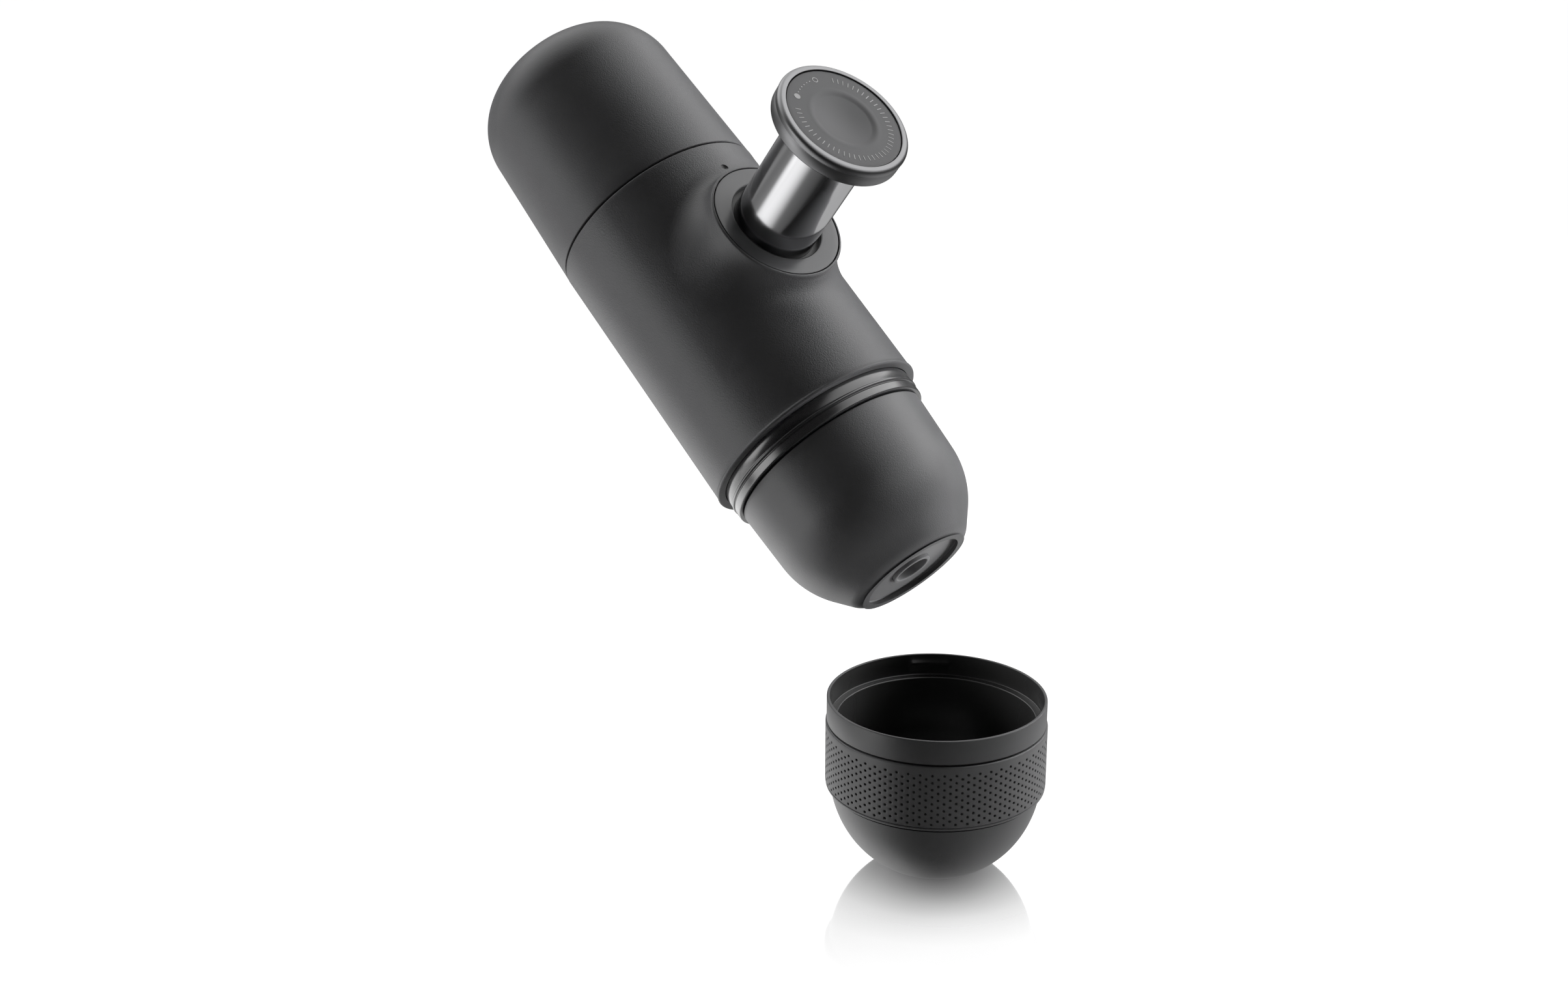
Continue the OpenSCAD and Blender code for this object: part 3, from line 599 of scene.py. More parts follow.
# ---- piston and knob
def make_shaft():
    wall = 1.5
    outline = ([(SHAFT_R - wall, SHAFT_LOW), (SHAFT_R - 0.3, SHAFT_LOW), (SHAFT_R, SHAFT_LOW + 0.3)]
               + [(SHAFT_R, z) for z in spread(SHAFT_LOW + 1, KNOB_LOW, 8)]
               + [(SHAFT_R - wall, KNOB_LOW)])
    dress(revolve("piston_tube", outline, PUSH), "piston", M_SHAFT, "shaft_steel", "piston_shaft")


def make_knob():
    low, top, r = KNOB_LOW, KNOB_TOP, KNOB_R
    groove = top - 2.15
    pocket = INSERT_R + 0.14
    outline = ([(0, low), (SHAFT_R + 1.0, low), (r - 1.6, low + 0.1)]
               + arc(r - 1.0, low + 0.95, 0.85, -80, -10, 8)
               + [(r - 0.12, low + 1.4), (r - 0.1, groove - 0.35), (r - 0.22, groove - 0.1),
                  (r - 0.22, groove + 0.05), (r - 0.06, groove + 0.3)]
               + arc(r - 1.15, top - 1.15, 1.15, 0, 82, 12)
               + corner(pocket, top, 0.16, 90, 4)
               + [(pocket, INSERT_LOW), (0, INSERT_LOW)])
    dress(revolve("knob_rim", outline, PUSH, closed=False), "piston", M_KNOB, "knob_metal", "knob_ring")


MARK_RING = 12.6  # radius of the ring of lock marks
SCALE_TICKS = 44
INSERT_FACE = INSERT_TOP - 0.1  # the flat ring round the dish
MARK_LOW = INSERT_FACE - 0.1
MARK_HIGH = INSERT_FACE + 0.05


def flat_disc(r, hole=0.0, count=40):
    """Points and faces of a thin disc or ring on the insert's face."""
    line = [(hole, MARK_LOW), (r, MARK_LOW), (r, MARK_HIGH), (hole, MARK_HIGH)]
    return revolve_data(line, count, closed=bool(hole))


def flat_tick(length, width):
    """Points and faces of a thin bar that lies along x on the insert's face."""
    points = [(x * length / 2, y * width / 2, z) for z in (MARK_LOW, MARK_HIGH) for x, y in SQUARE]
    sides = [[k, (k + 1) % 4, (k + 1) % 4 + 4, k + 4] for k in range(4)]
    return points, sides + [[3, 2, 1, 0], [4, 5, 6, 7]]


def copy_onto(tree, line, position, source, turn=(0, 0, 0)):
    """Real copies of an object's mesh on the points of a line that is bent to positions."""
    points = flow(tree, "GeometryNodeSetPosition", {"Geometry": line, "Position": position})
    shape = node(tree, "GeometryNodeObjectInfo", {"Object": source}).outputs["Geometry"]
    copies = flow(tree, "GeometryNodeInstanceOnPoints", {
        "Points": points, "Instance": shape, "Rotation": turn})
    return flow(tree, "GeometryNodeRealizeInstances", {"Geometry": copies})


def paint_and_close(tree, geometry, material):
    """Ends a tree of Geometry Nodes with a material and the tree's output."""
    painted = flow(tree, "GeometryNodeSetMaterial", {"Geometry": geometry, "Material": material})
    node(tree, "NodeGroupOutput", {"Geometry": painted})


def mark_tree(material):
    """A tree that copies a mark along part of a circle, each one turned with it."""
    tree, given = new_group(
        "marks_on_arc", "GeometryNodeTree",
        {"Mark": "Object", "Count": "Int", "Radius": "Float", "From angle": "Float", "To angle": "Float"},
        {"Geometry": "Geometry"})
    line = flow(tree, "GeometryNodeMeshLine", {"Count": given["Count"]})
    angle = flow(tree, "MapRange", {
        "Value": flow(tree, "GeometryNodeInputIndex"), "From Max": given["Count"],
        "To Min": given["From angle"], "To Max": given["To angle"]})
    turn = flow(tree, "CombineXYZ", {"Z": angle})
    reach = flow(tree, "CombineXYZ", {"X": given["Radius"]})
    spot = flow(tree, "VectorRotate", {"Vector": reach, "Rotation": turn}, rotation_type="EULER_XYZ")
    paint_and_close(tree, copy_onto(tree, line, spot, given["Mark"], turn), material)
    return tree


def make_marks():
    """An open circle, a filled one, small dots on the way between them, and a ring of ticks."""
    tree = mark_tree(M_MARKS)
    lock = radians(abs(JOINTS["piston_twist"]["range_deg"][0]))
    kinds = (("open_mark", flat_disc(0.8, hole=0.58), 1, 0.0, 0.0),
             ("filled_mark", flat_disc(0.85), 1, lock, lock),
             ("path_mark", flat_disc(0.18, count=16), 6, lock * 0.2, lock * 0.95),
             ("scale_mark", flat_tick(1.5, 0.2), SCALE_TICKS, lock * 1.45, FULL - lock * 0.4))
    for name, shape, count, start, end in kinds:
        tile = mesh_piece(name + "_tile", *shape, Matrix.Identity(4))
        piece = grow(name, tree, {
            "Mark": tile, "Count": count, "Radius": MARK_RING, "From angle": start, "To angle": end})
        bpy.data.objects.remove(tile)
        for vertex in piece.data.vertices:
            vertex.co = PUSH @ vertex.co
        dress(shade(piece), "piston", M_MARKS, "insert_plastic")


def insert_height(r):
    """Height of the insert's face over its flat ring, at a distance from its centre."""
    swell, edge = 0.08, 1.3
    if r >= DISH_R + edge:
        return 0.0
    if r > DISH_R - edge:
        t = (DISH_R + edge - r) / (2 * edge)
        return swell * sin(pi * t) ** 2 - DISH_DEPTH * 0.3 * t * t
    t = r / (DISH_R - edge)
    return -DISH_DEPTH * (0.3 + 0.7 * (1 - t * t) * (1 - 0.3 * t * t))


def make_insert():
    radii = spread(INSERT_R - 1.2, DISH_R + 2, 4) + spread(DISH_R + 1.5, 0.3, 48) + [0]
    outline = ([(0, INSERT_LOW), (INSERT_R, INSERT_LOW)] + corner(INSERT_R, INSERT_FACE, 0.2, 0, 4)
               + [(r, INSERT_FACE + insert_height(r)) for r in radii])
    dress(revolve("knob_disc", outline, PUSH, closed=False), "piston", M_INSERT, "insert_plastic",
          "knob_insert")


# ---- neck, head and nozzle
def make_neck():
    rib = BEAD_END + 3.5
    groove = 0.15
    inner_r, screen = SPIGOT_R - 2.8, SPIGOT_END - 2.6
    outline = ([(0, NECK_START), (NECK_R, NECK_START), (NECK_R, BEAD_END + 0.25),
                (NECK_R + 0.05, BEAD_END + 0.6), (NECK_R + 0.05, rib - 0.95),
                (NECK_R - groove, rib - 0.62), (NECK_R - groove, rib - 0.48)]
               + arc(NECK_RIB_R - 0.42, rib, 0.42, -65, 65, 10)
               + [(NECK_R - groove, rib + 0.48), (NECK_R - groove, rib + 0.58),
                  (NECK_R + 0.05, rib + 0.9), (NECK_R + 0.05, NECK_END - 0.9)]
               + arc(NECK_R - 0.35, NECK_END - 0.4, 0.4, 0, 90, 6)
               + [(SPIGOT_R, NECK_END), (SPIGOT_R, SPIGOT_END - 0.3), (SPIGOT_R - 0.3, SPIGOT_END),
                  (inner_r, SPIGOT_END), (inner_r, screen), (inner_r - 1.5, screen),
                  (inner_r - 1.5, screen - 2), (0, screen - 2)])
    dress(revolve("neck_bands", outline, MAKER, 320, closed=False), "housing", M_NECK, "neck_plastic",
          "neck_ring")


def head_outline():
    """The head's outside, from its straight part over the shoulder to the curve at its tip."""
    deg = degrees(SHOULDER_ANGLE)
    s, c, t = sin(SHOULDER_ANGLE), cos(SHOULDER_ANGLE), tan(SHOULDER_ANGLE)
    shoulder = HEAD_TIP - NOSE_R * (1 - s) - SLOPE_LEN - SHOULDER_R * s
    slope_r = HEAD_R - SHOULDER_R * (1 - c) - SLOPE_LEN * t
    bend = arc(HEAD_R - SHOULDER_R, shoulder, SHOULDER_R, HEAD_LEAN, deg, 30)
    taper = [(HEAD_TOP_R + (bend[0][0] - HEAD_TOP_R) * k / 8, z)
             for k, z in enumerate(spread(HEAD_START + EDGE, bend[0][1], 8)) if 0 < k < 8]
    return taper + bend + arc(slope_r - NOSE_R * c, HEAD_TIP - NOSE_R, NOSE_R, deg, 86, 14)


def make_head():
    bore_r = SPIGOT_R + 0.3
    ledge = SPIGOT_END + 2.6
    chamber_r = 22.4
    inner_end = NOZZLE_SEAT - 6
    outline = (corner(HEAD_TOP_R, HEAD_START, EDGE, -90, 6) + head_outline()
               + [(RECESS_R + 1.0, HEAD_TIP)] + corner(RECESS_R, HEAD_TIP, 0.45, 90, 6)
               + [(RECESS_R, RECESS_FLOOR + 0.25), (RECESS_R - 0.25, RECESS_FLOOR),
                  (NOZZLE_R + 0.1, RECESS_FLOOR), (NOZZLE_R + 0.1, NOZZLE_SEAT), (8.5, NOZZLE_SEAT),
                  (14.0, inner_end + 1.2), (20.2, inner_end - 4.5), (chamber_r, inner_end - 13),
                  (chamber_r, ledge - 1), (bore_r, ledge - 1), (bore_r, HEAD_START + 0.3),
                  (bore_r + 0.3, HEAD_START)])
    head = dress(revolve("head_cap", outline, MAKER, 320), "head", M_HEAD, "head_plastic", "head_shell")
    second_finish(head, M_NOZZLE, MAKER, lambda middle, normal: middle.z > RECESS_FLOOR - 0.1
                  and normal.z > 0.3 and hypot(middle.x, middle.y) < RECESS_R)


def make_nozzle():
    outline = ([(NOZZLE_BORE_R, NOZZLE_BACK), (NOZZLE_FLANGE_R, NOZZLE_BACK),
                (NOZZLE_FLANGE_R, NOZZLE_SEAT), (NOZZLE_R, NOZZLE_SEAT)]
               + corner(NOZZLE_R, NOZZLE_TIP, 0.25, 0, 5) + corner(NOZZLE_BORE_R, NOZZLE_TIP, 0.25, 90, 5))
    dress(revolve("outlet_ring", outline, MAKER, 160), "head", M_NOZZLE, "collar_plastic", "nozzle_ring")


# ---- cup and sleeve
def bowl_line(r, z, tip_r, floor, start, steps):
    """Curve of the bowl up from its foot to the angle start short of its widest circle."""
    angles = [radians(start + (90 - start) * k / steps) for k in range(steps, -1, -1)]
    return [(tip_r + (r - tip_r) * cos(a), z - (z - floor) * sin(a)) for a in angles]


def make_cup():
    foot_r, tip_r = 9.0, 3.5
    widest = CUP_H - BOWL_AT
    deep = widest / sin(acos((foot_r - tip_r) / (BOWL_R - tip_r))) - widest
    start = degrees(asin((widest - SLEEVE_LOW) / (widest + deep)))
    groove_r = SLEEVE_R - 1.6
    ledge = CUP_H - LEDGE_DEPTH
    under = SLEEVE_LOW - 0.9
    under_r = tip_r + (BOWL_R - tip_r) * cos(asin((widest - under) / (widest + deep)))
    outside = [q for q in bowl_line(BOWL_R, widest, tip_r, -deep, start, 44) if 0.02 < q[1] < under - 0.3]
    band_low = SLEEVE_TOP + 0.4
    lug_low, lug_high = CUP_H - 3.3, CUP_H - 2.1
    outline = ([(0, 0), (foot_r * 0.5, 0), (foot_r - 0.4, 0)] + outside
               + [(under_r, under), (under_r - 0.7, under + 0.15), (groove_r, SLEEVE_LOW),
                  (groove_r, band_low)]
               + corner(CUP_R, band_low, 0.2, -90, 4) + corner(CUP_R, CUP_H, 0.3, 0, 5)
               + corner(CUP_MOUTH_R, CUP_H, 0.2, 90, 4)
               + [(CUP_MOUTH_R, z) for z in spread(lug_high + 0.1, lug_low - 0.1, 5)]
               + [(CUP_MOUTH_R, ledge + 0.3)] + arc(CUP_MOUTH_R - 0.3, ledge + 0.3, 0.3, 0, -90, 3)
               + corner(CUP_INNER_R, ledge, 0.35, 90, 5)
               + bowl_line(CUP_INNER_R, widest, 2.0, CUP_FLOOR, 0, 40)[::-1] + [(0, CUP_FLOOR)])
    cup = revolve("cup_body", outline, CUP, 320, closed=False)
    back = CUP.inverted()
    for vertex in cup.data.vertices:
        at = back @ vertex.co
        on_wall = abs(hypot(at.x, at.y) - CUP_MOUTH_R) < 0.01
        off = abs((atan2(at.y, at.x) - LUG_TURN + FULL / 8) % (FULL / 4) - FULL / 8) * CUP_MOUTH_R
        if on_wall and lug_low - 0.05 < at.z < lug_high + 0.05 and off < LUG_WIDTH / 2:
            vertex.co = CUP @ Vector((at.x * LUG_SHARE, at.y * LUG_SHARE, at.z))
    dress(cup, "cup", M_CUP, "cup_plastic", "cup_bowl")

    def gloss_inside(middle, normal):
        faces_in = middle.x * normal.x + middle.y * normal.y < -0.1
        on_floor = middle.length < CUP_FLOOR * 2
        return (CUP_FLOOR - 0.1 < middle.z < CUP_H - 0.25
                and (faces_in or on_floor or abs(middle.z - ledge) < 0.5))

    second_finish(cup, M_CUP_IN, CUP, gloss_inside)


# radius and depth of the rings of a dent, as shares of DOT_R and DOT_DEPTH
DENT = ((1.14, 0), (1.02, -0.04), (0.92, -0.16), (0.74, -0.58), (0.42, -0.92))


def dot_tile():
    """A flat tile with one dent and one plain cell beside it, in millimetres."""
    wide = FULL * SLEEVE_R / DOT_COLUMNS / 2
    xs, zs = ([size * k / 3 for k in range(4)] for size in (wide, ROW_STEP))
    edge = ([(xs[k], zs[0]) for k in range(3)] + [(xs[3], zs[k]) for k in range(3)]
            + [(xs[3 - k], zs[3]) for k in range(3)] + [(xs[0], zs[3 - k]) for k in range(3)])
    mid_x, mid_z = wide / 2, ROW_STEP / 2
    angles = [atan2(z - mid_z, x - mid_x) for x, z in edge]
    skin = Skin()
    here = skin.loop([(x, 0.0, z) for x, z in edge])
    for r, y in DENT:
        here = skin.add(here, [(mid_x + DOT_R * r * cos(a), DOT_DEPTH * y,
                                mid_z + DOT_R * r * sin(a)) for a in angles])
    bottom = skin.loop([(mid_x, -DOT_DEPTH, mid_z)])
    skin.faces += [[i, n, bottom[0]] for i, n in zip(here, here[1:] + here[:1])]
    cell = skin.loop([(wide + x, 0.0, z) for z in zs for x in xs])
    skin.faces += [[cell[i], cell[i + 1], cell[i + 5], cell[i + 4]] for i in range(11) if i % 4 != 3]
    mesh = bpy.data.meshes.new("dot_tile")
    mesh.from_pydata(skin.points, [], skin.faces)
    return place_object("dot_tile", mesh)


def field_tree(tile, material):
    """A tree that repeats the tile in shifted rows and bends the sheet round the sleeve."""
    tree, given = new_group(
        "dotted_field", "GeometryNodeTree",
        {"Columns": "Int", "Rows": "Int", "Row step": "Float", "Radius": "Float", "Base": "Float"},
        {"Geometry": "Geometry"})
    columns, radius = given["Columns"], given["Radius"]
    line = flow(tree, "GeometryNodeMeshLine", {"Count": maths(tree, "MULTIPLY", columns, given["Rows"])})
    index = flow(tree, "GeometryNodeInputIndex")
    row = maths(tree, "FLOOR", maths(tree, "DIVIDE", index, columns))
    column = maths(tree, "SUBTRACT", index, maths(tree, "MULTIPLY", row, columns))
    pitch = maths(tree, "DIVIDE", maths(tree, "MULTIPLY", radius, FULL), columns)
    shift = maths(tree, "MULTIPLY", maths(tree, "MODULO", row, 2.0), 0.5)
    spot = flow(tree, "CombineXYZ", {
        "X": maths(tree, "MULTIPLY", maths(tree, "ADD", column, shift), pitch),
        "Z": maths(tree, "MULTIPLY", row, given["Row step"])})
    sheet = copy_onto(tree, line, spot, tile)
    here = node(tree, "SeparateXYZ", {0: flow(tree, "GeometryNodeInputPosition")}).outputs
    angle = maths(tree, "DIVIDE", here["X"], radius)
    rho = maths(tree, "ADD", here["Y"], radius)
    bent = flow(tree, "CombineXYZ", {
        "X": maths(tree, "MULTIPLY", rho, maths(tree, "COSINE", angle)),
        "Y": maths(tree, "MULTIPLY", rho, maths(tree, "SINE", angle)),
        "Z": maths(tree, "ADD", here["Z"], given["Base"])})
    paint_and_close(tree, flow(tree, "GeometryNodeSetPosition", {"Geometry": sheet, "Position": bent}),
                    material)
    return tree


def grow(name, tree, values):
    """Runs a Geometry Nodes tree on an empty mesh and returns the plain mesh it makes."""
    holder = place_object(name, bpy.data.meshes.new(name))
    modifier = holder.modifiers.new(name, "NODES")
    modifier.node_group = tree
    sockets = {s.name: s.identifier for s in tree.interface.items_tree if s.in_out == "INPUT"}
    for key, value in values.items():
        modifier[sockets[key]] = value
    return settle(holder)


def make_sleeve():
    tile = dot_tile()
    base = (SLEEVE_LOW + SLEEVE_TOP - DOT_ROWS * ROW_STEP) / 2 - 0.3
    high = base + DOT_ROWS * ROW_STEP
    field = grow("sleeve_field", field_tree(tile, M_SLEEVE), {
        "Columns": DOT_COLUMNS, "Rows": DOT_ROWS, "Row step": ROW_STEP, "Radius": SLEEVE_R, "Base": base})
    bpy.data.objects.remove(tile)
    wall_r = SLEEVE_R - 1.5
    rim = ([(SLEEVE_R, high), (SLEEVE_R, SLEEVE_TOP - 1.2)]
           + corner(SLEEVE_R, SLEEVE_TOP, 0.4, 0, 6)
           + [(wall_r, SLEEVE_TOP), (wall_r, SLEEVE_LOW)]
           + arc(SLEEVE_R - 0.42, SLEEVE_LOW + 0.3, 0.3, -90, 0, 5)
           + [(SLEEVE_R - 0.12, SLEEVE_LOW + 0.6), (SLEEVE_R - 0.34, SLEEVE_LOW + 0.72),
              (SLEEVE_R - 0.34, SLEEVE_LOW + 0.86), (SLEEVE_R, SLEEVE_LOW + 1.1), (SLEEVE_R, base)])
    points, faces = revolve_data(rim, DOT_COLUMNS * 6, closed=False)
    work = bmesh.new()
    work.from_mesh(field.data)
    verts = [work.verts.new(p) for p in points]
    for face in faces:
        work.faces.new([verts[i] for i in face])
    bmesh.ops.remove_doubles(work, verts=work.verts, dist=0.01)
    bmesh.ops.recalc_face_normals(work, faces=work.faces)
    for vertex in work.verts:
        vertex.co = CUP @ vertex.co
    work.to_mesh(field.data)
    work.free()
    field.name = "sleeve_skin"
    dress(shade(field, 50), "cup", M_SLEEVE, "sleeve_rubber", "cup_sleeve")

    # faces deep in the dents take the darker colour: painted shade
    def painted_dent_shade(middle, normal):
        depth = SLEEVE_R - hypot(middle.x, middle.y)
        return base < middle.z < high and DOT_DEPTH * 0.34 < depth < DOT_DEPTH * 1.1

    second_finish(field, M_DENT_SHADE, CUP, painted_dent_shade)


# ---- return spring
def make_spring():
    """The coil between the pump's floor and the plunger, which the stroke presses together."""
    low, high, outer_r = measure("return_spring", PUSH)
    half = SPRING_WIRE / 2
    length = high - low - SPRING_WIRE
    end_pitch = SPRING_WIRE + 0.5
    pitch = (length - 2 * end_pitch) / (SPRING_TURNS - 2)
    per_turn, sides = 40, 12
    section = [(outer_r - half + half * cos(FULL * k / sides), half * sin(FULL * k / sides))
               for k in range(sides)]
    rings = []
    for k in range(SPRING_TURNS * per_turn + 1):
        t = k / per_turn
        up = t * end_pitch if t < 1 else end_pitch + (t - 1) * pitch
        if t > SPRING_TURNS - 1:
            up = length - (SPRING_TURNS - t) * end_pitch
        rings.append([polar(r, FULL * t, low + half + up + rise) for r, rise in section])
    spring = dress(wind("spring_coil", rings, PUSH, 50), "housing", M_WIRE, "spring_steel", "return_spring")
    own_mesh(spring)


# ---- threads
# section of a thread, as shares of its pitch and of its height
TOOTH = ((-0.34, -0.06), (-0.16, 1.0), (0.16, 1.0), (0.34, -0.06))


def make_thread(name, root_r, crest_r, low, high, pitch, material, slot):
    """A trapezoid thread wound on a spigot, running out at both ends."""
    per_turn, run_out = 72, 10
    count = int((high - low) / pitch * per_turn)
    rings = []
    for k in range(count + 1):
        share = min(1.0, k / run_out, (count - k) / run_out)
        rings.append([polar(root_r + (crest_r - root_r) * (out * share if out > 0 else out),
                            FULL * k / per_turn, low + pitch * (k / per_turn + along))
                      for along, out in TOOTH])
    dress(wind(name, rings, MAKER, 30), "housing", material, slot)


def make_threads():
    tank_low = measure("tank_deck", MAKER)[0]
    tank_root = radius_at("tank_deck", MAKER, tank_low)
    make_thread("tank_thread", tank_root, TANK_BORE_R - 0.06, tank_low + 1.6, SEAM - 1.6, 2.4,
                M_INNER, "inner_plastic")
    make_thread("head_thread", SPIGOT_R, SPIGOT_R + 0.24, NECK_END + 3.2, SPIGOT_END - 1.4, 1.8,
                M_NECK, "neck_plastic")


# ---- inner pieces
INNER = {
    ("housing", M_INNER, "inner_plastic"): ("tank_deck", "pump_frame", "guide_bush"),
    ("housing", M_CYLINDER, "cylinder_metal"): ("pump_cylinder",),
    ("housing", M_PALE, "pale_rubber"): ("inlet_tube", "inlet_valve", "outlet_valve"),
    ("housing", M_STEEL, "basket_steel"): ("shower_screen", "screen_screw"),
    ("tank_seal", M_RUBBER, "black_rubber"): ("tank_gasket",),
    ("plunger_end", M_INNER, "inner_plastic"): ("plunger",),
    ("plunger_end", M_RED, "red_rubber"): ("plunger_seal",),
    ("head", M_RUBBER, "black_rubber"): ("crema_valve",),
    ("basket", M_RUBBER, "black_rubber"): ("basket_gasket",),
    ("basket", M_STEEL, "basket_steel"): ("filter_basket",)}


def make_inner():
    """Copies of the inner CAD pieces, merged so that their round faces shade as round."""
    for finish, names in INNER.items():
        for name in names:
            mesh = frame["nodes"][name].data.copy()
            merge_points(mesh, turn_out=False)
            dress(shade(place_object(name + "_part", mesh), 28), *finish, name)


# ---- studio
def make_camera():
    data = bpy.data.cameras.new("camera")
    data.lens = LENS
    data.sensor_width = 36
    data.sensor_fit = "HORIZONTAL"
    data.clip_start = 0.01
    camera = place_object("camera", data)
    camera.location = VIEW_FROM
    camera.rotation_euler = (VIEW_PITCH, 0, VIEW_TURN)
    bpy.context.scene.camera = camera


# Brightness of the studio in reflections. Each part of it is a product of two curves: by the
# degrees round from the camera, to the left, and by how far a way points down (-1) or up (1).
STUDIO = (
    (((-180, 1.4), (-150, 1.9), (-118, 2.4), (-60, 1.65), (-32, 1.1), (-12, 0.05), (46, 0.05),
      (80, 0.2), (95, 1.2), (125, 2.2), (155, 2.0), (180, 1.2)),
     ((-1, 0), (-0.06, 0), (0, 0.07), (0.2, 0.07), (0.34, 0.16), (0.47, 1.0), (0.93, 0.95),
      (0.97, 0.35), (1, 0.3))),
    (((-180, 0.8), (-150, 1.1), (-118, 1.3), (-100, 1.2), (-80, 0.62), (-55, 0.3), (-30, 0.08),
      (15, 0.12), (33, 0.24), (50, 0.36), (80, 0.8), (95, 2.9), (125, 3.9), (155, 2.9), (180, 1.2)),
     ((-1, 0.15), (-0.97, 0.18), (-0.93, 0.5), (-0.45, 0.5), (-0.34, 0.12), (-0.1, 0.07),
      (0, 0.06), (0.06, 0), (1, 0))),
    (((-180, 0), (52, 0), (60, 1.2), (66, 1.4), (82, 1.4), (91, 0), (180, 0)),
     ((-1, 0), (-0.86, 0), (-0.74, 0.4), (-0.55, 0.72), (-0.38, 0.8), (-0.24, 1.8), (0.1, 1.8),
      (0.25, 0), (1, 0))))
WHITE = (1, 1, 1, 1)
MATT_SHARE = 0.06  # share of the studio's brightness that lights matt surfaces


def level_curve(tree, value, points):
    """A curve node through (position, level) pairs, joined by straight lines."""
    curve = node(tree, "FloatCurve", {"Value": value})
    curve.mapping.clip_max_y = 4
    line = curve.mapping.curves[0]
    line.points[0].location = points[0]
    line.points[1].location = points[-1]
    for position in points[1:-1]:
        line.points.new(*position)
    for point in line.points:
        point.handle_type = "VECTOR"
    curve.mapping.update()
    return curve.outputs["Value"]


def make_world():
    """White for the camera; for reflections a studio that is dark on the camera's side."""
    world = bpy.data.worlds.new("studio")
    bpy.context.scene.world = world
    tree = empty_tree(world)
    way = node(tree, "TexCoord").outputs["Generated"]
    left, ahead = (
        node(tree, "VectorMath", {0: way, 1: axis}, operation="DOT_PRODUCT").outputs["Value"]
        for axis in (-VIEW_SIDE, VIEW_NEAR))
    angle = flow(tree, "MapRange", {
        "Value": maths(tree, "ARCTAN2", left, ahead), "From Min": -pi, "From Max": pi})
    up = node(tree, "SeparateXYZ", {0: way}).outputs["Z"]
    height = flow(tree, "MapRange", {"Value": up, "From Min": -1, "From Max": 1})
    level = None
    for round_points, up_points in STUDIO:
        part = maths(tree, "MULTIPLY",
                     level_curve(tree, angle, [((turn + 180) / 360, v) for turn, v in round_points]),
                     level_curve(tree, height, [((rise + 1) / 2, v) for rise, v in up_points]))
        level = maths(tree, "ADD", level, part) if level else part
    paths = node(tree, "LightPath").outputs
    share = flow(tree, "MapRange", {"Value": paths["Is Glossy Ray"], "To Min": MATT_SHARE, "To Max": 1.0})
    level = maths(tree, "MULTIPLY", level, share)
    lit = flow(tree, "Background", {"Color": level, "Strength": 1.0})
    seen = flow(tree, "Background", {"Color": WHITE, "Strength": 1.0})
    mix = flow(tree, "MixShader", {"Fac": paths["Is Camera Ray"], 1: lit, 2: seen})
    node(tree, "OutputWorld", {"Surface": mix})


# name, direction as (side, up, towards the camera), distance, width and height in metres, watts
LAMPS = (("left_softbox", (-1.0, 0.05, -0.36), 0.8, 0.4, 0.9, 15.5),
         ("right_softbox", (1.0, 0.35, -0.45), 0.8, 0.4, 0.9, 18.5),
         ("low_softbox", (1.0, -0.2, 0.2), 0.5, 0.25, 0.06, 2.8),
         ("front_softbox", (-0.1, 0.3, 1.0), 0.9, 0.3, 0.3, 0.16))
LIT_MIDDLE = Vector((0.0, 0.0, -0.03))  # the point that the lamps face


def make_lights():
    """Softboxes that face the object and don't show in reflections."""
    for name, (side, up, near), distance, width, height, power in LAMPS:
        data = bpy.data.lights.new(name, "AREA")
        data.shape = "RECTANGLE"
        data.size, data.size_y = width, height
        data.energy = power
        way = (VIEW_SIDE * side + Vector((0, 0, 1)) * up + VIEW_NEAR * near).normalized()
        light = place_object(name, data)
        light.location = LIT_MIDDLE + way * distance
        light.rotation_euler = way.to_track_quat("Z", "Y").to_euler()
        light.visible_glossy = False


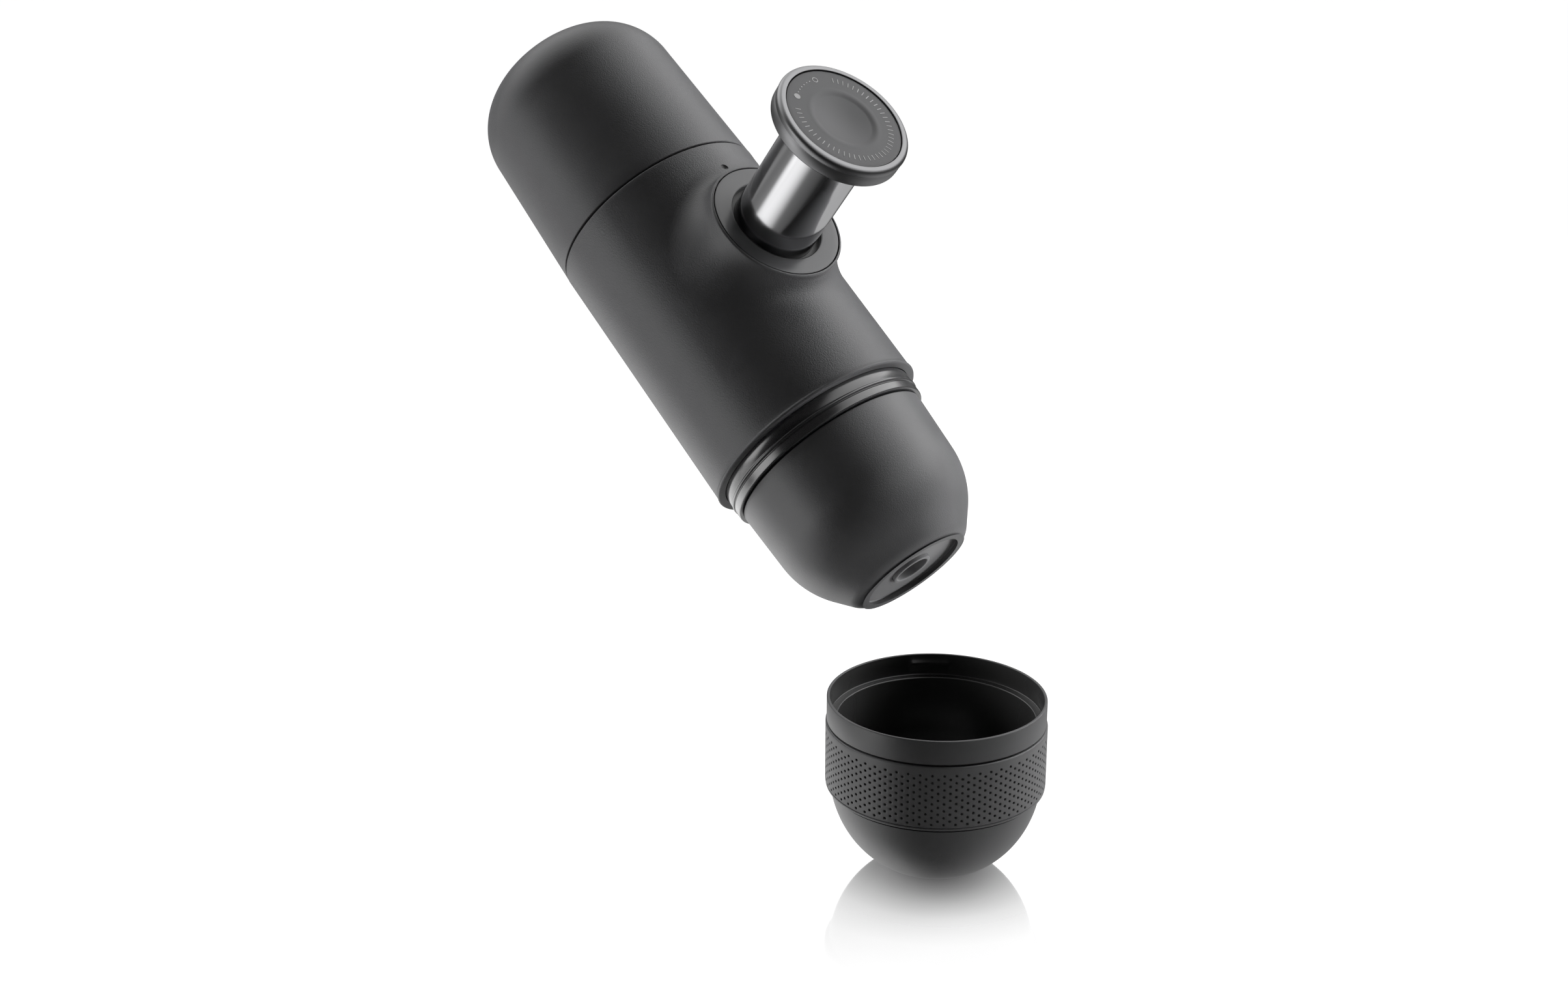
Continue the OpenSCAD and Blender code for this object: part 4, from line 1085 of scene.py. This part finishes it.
FLOOR_REACH = 6.0  # metres from the middle to the floor's edge
FLOOR_TONE = 0.6  # what the floor throws back at the object
SEEN_TONE = 0.12  # the same for the camera, which sees it under the floor's own white
FOOT_SHADOW = (0.012, 0.04, 0.78)  # painted shadow under the foot, as a dip in the floor's white: metres to its ends, and its level
MIRROR_REACH = 0.15  # metres from the cup to the end of its reflection
MIRROR_FADE = ((0, 0.92), (0.067, 0.9), (0.113, 0.72), (0.16, 0.5), (0.21, 0.31), (0.3, 0.16),
               (0.45, 0.1), (0.62, 0.07), (0.8, 0.03), (1, 0))


def make_floor():
    """A plain white floor with a painted shadow round the cup's foot, that mirrors the cup, less and less with
    distance.
    """
    mesh = bpy.data.meshes.new("floor")
    mesh.from_pydata([(x * FLOOR_REACH, y * FLOOR_REACH, FLOOR_Z) for x, y in SQUARE], [], [(0, 1, 2, 3)])
    floor = place_object("floor", mesh)
    material = bpy.data.materials.new("white_floor")
    tree = empty_tree(material)
    seen = node(tree, "LightPath").outputs["Is Camera Ray"]
    tone = flow(tree, "MapRange", {"Value": seen, "To Min": FLOOR_TONE, "To Max": SEEN_TONE})
    matt = flow(tree, "BsdfDiffuse", {"Color": tone})
    away = node(tree, "VectorMath", {
        0: node(tree, "TexCoord").outputs["Object"],
        1: (CUP.translation.x, CUP.translation.y, FLOOR_Z)}, operation="DISTANCE").outputs["Value"]
    # painted shadow round the cup's foot: the floor's white that the camera sees dips there
    shadow_start, shadow_end, shadow_level = FOOT_SHADOW
    white_with_shadow = flow(tree, "MapRange", {
        "Value": away, "From Min": shadow_start, "From Max": shadow_end, "To Min": shadow_level, "To Max": 1.0},
        interpolation_type="SMOOTHSTEP")
    level = maths(tree, "MULTIPLY", seen, white_with_shadow)
    glow = flow(tree, "Emission", {"Color": WHITE, "Strength": level})
    ground = flow(tree, "AddShader", {0: matt, 1: glow})
    mirror = flow(tree, "BsdfGlossy", {"Color": WHITE, "Roughness": 0.06})
    fade = level_curve(tree, maths(tree, "MULTIPLY", away, 1 / MIRROR_REACH), MIRROR_FADE)
    mix = flow(tree, "MixShader", {"Fac": fade, 1: ground, 2: mirror})
    node(tree, "OutputMaterial", {"Surface": mix})
    mesh.materials.append(material)
    floor.visible_glossy = False


make_camera()
make_world()
make_lights()
make_floor()
make_tank()
make_body()
make_collar()
make_shaft()
make_knob()
make_insert()
make_marks()
make_neck()
make_head()
make_nozzle()
make_cup()
make_sleeve()
make_inner()
make_spring()
make_threads()

bpy.context.scene.view_settings.view_transform = "Standard"
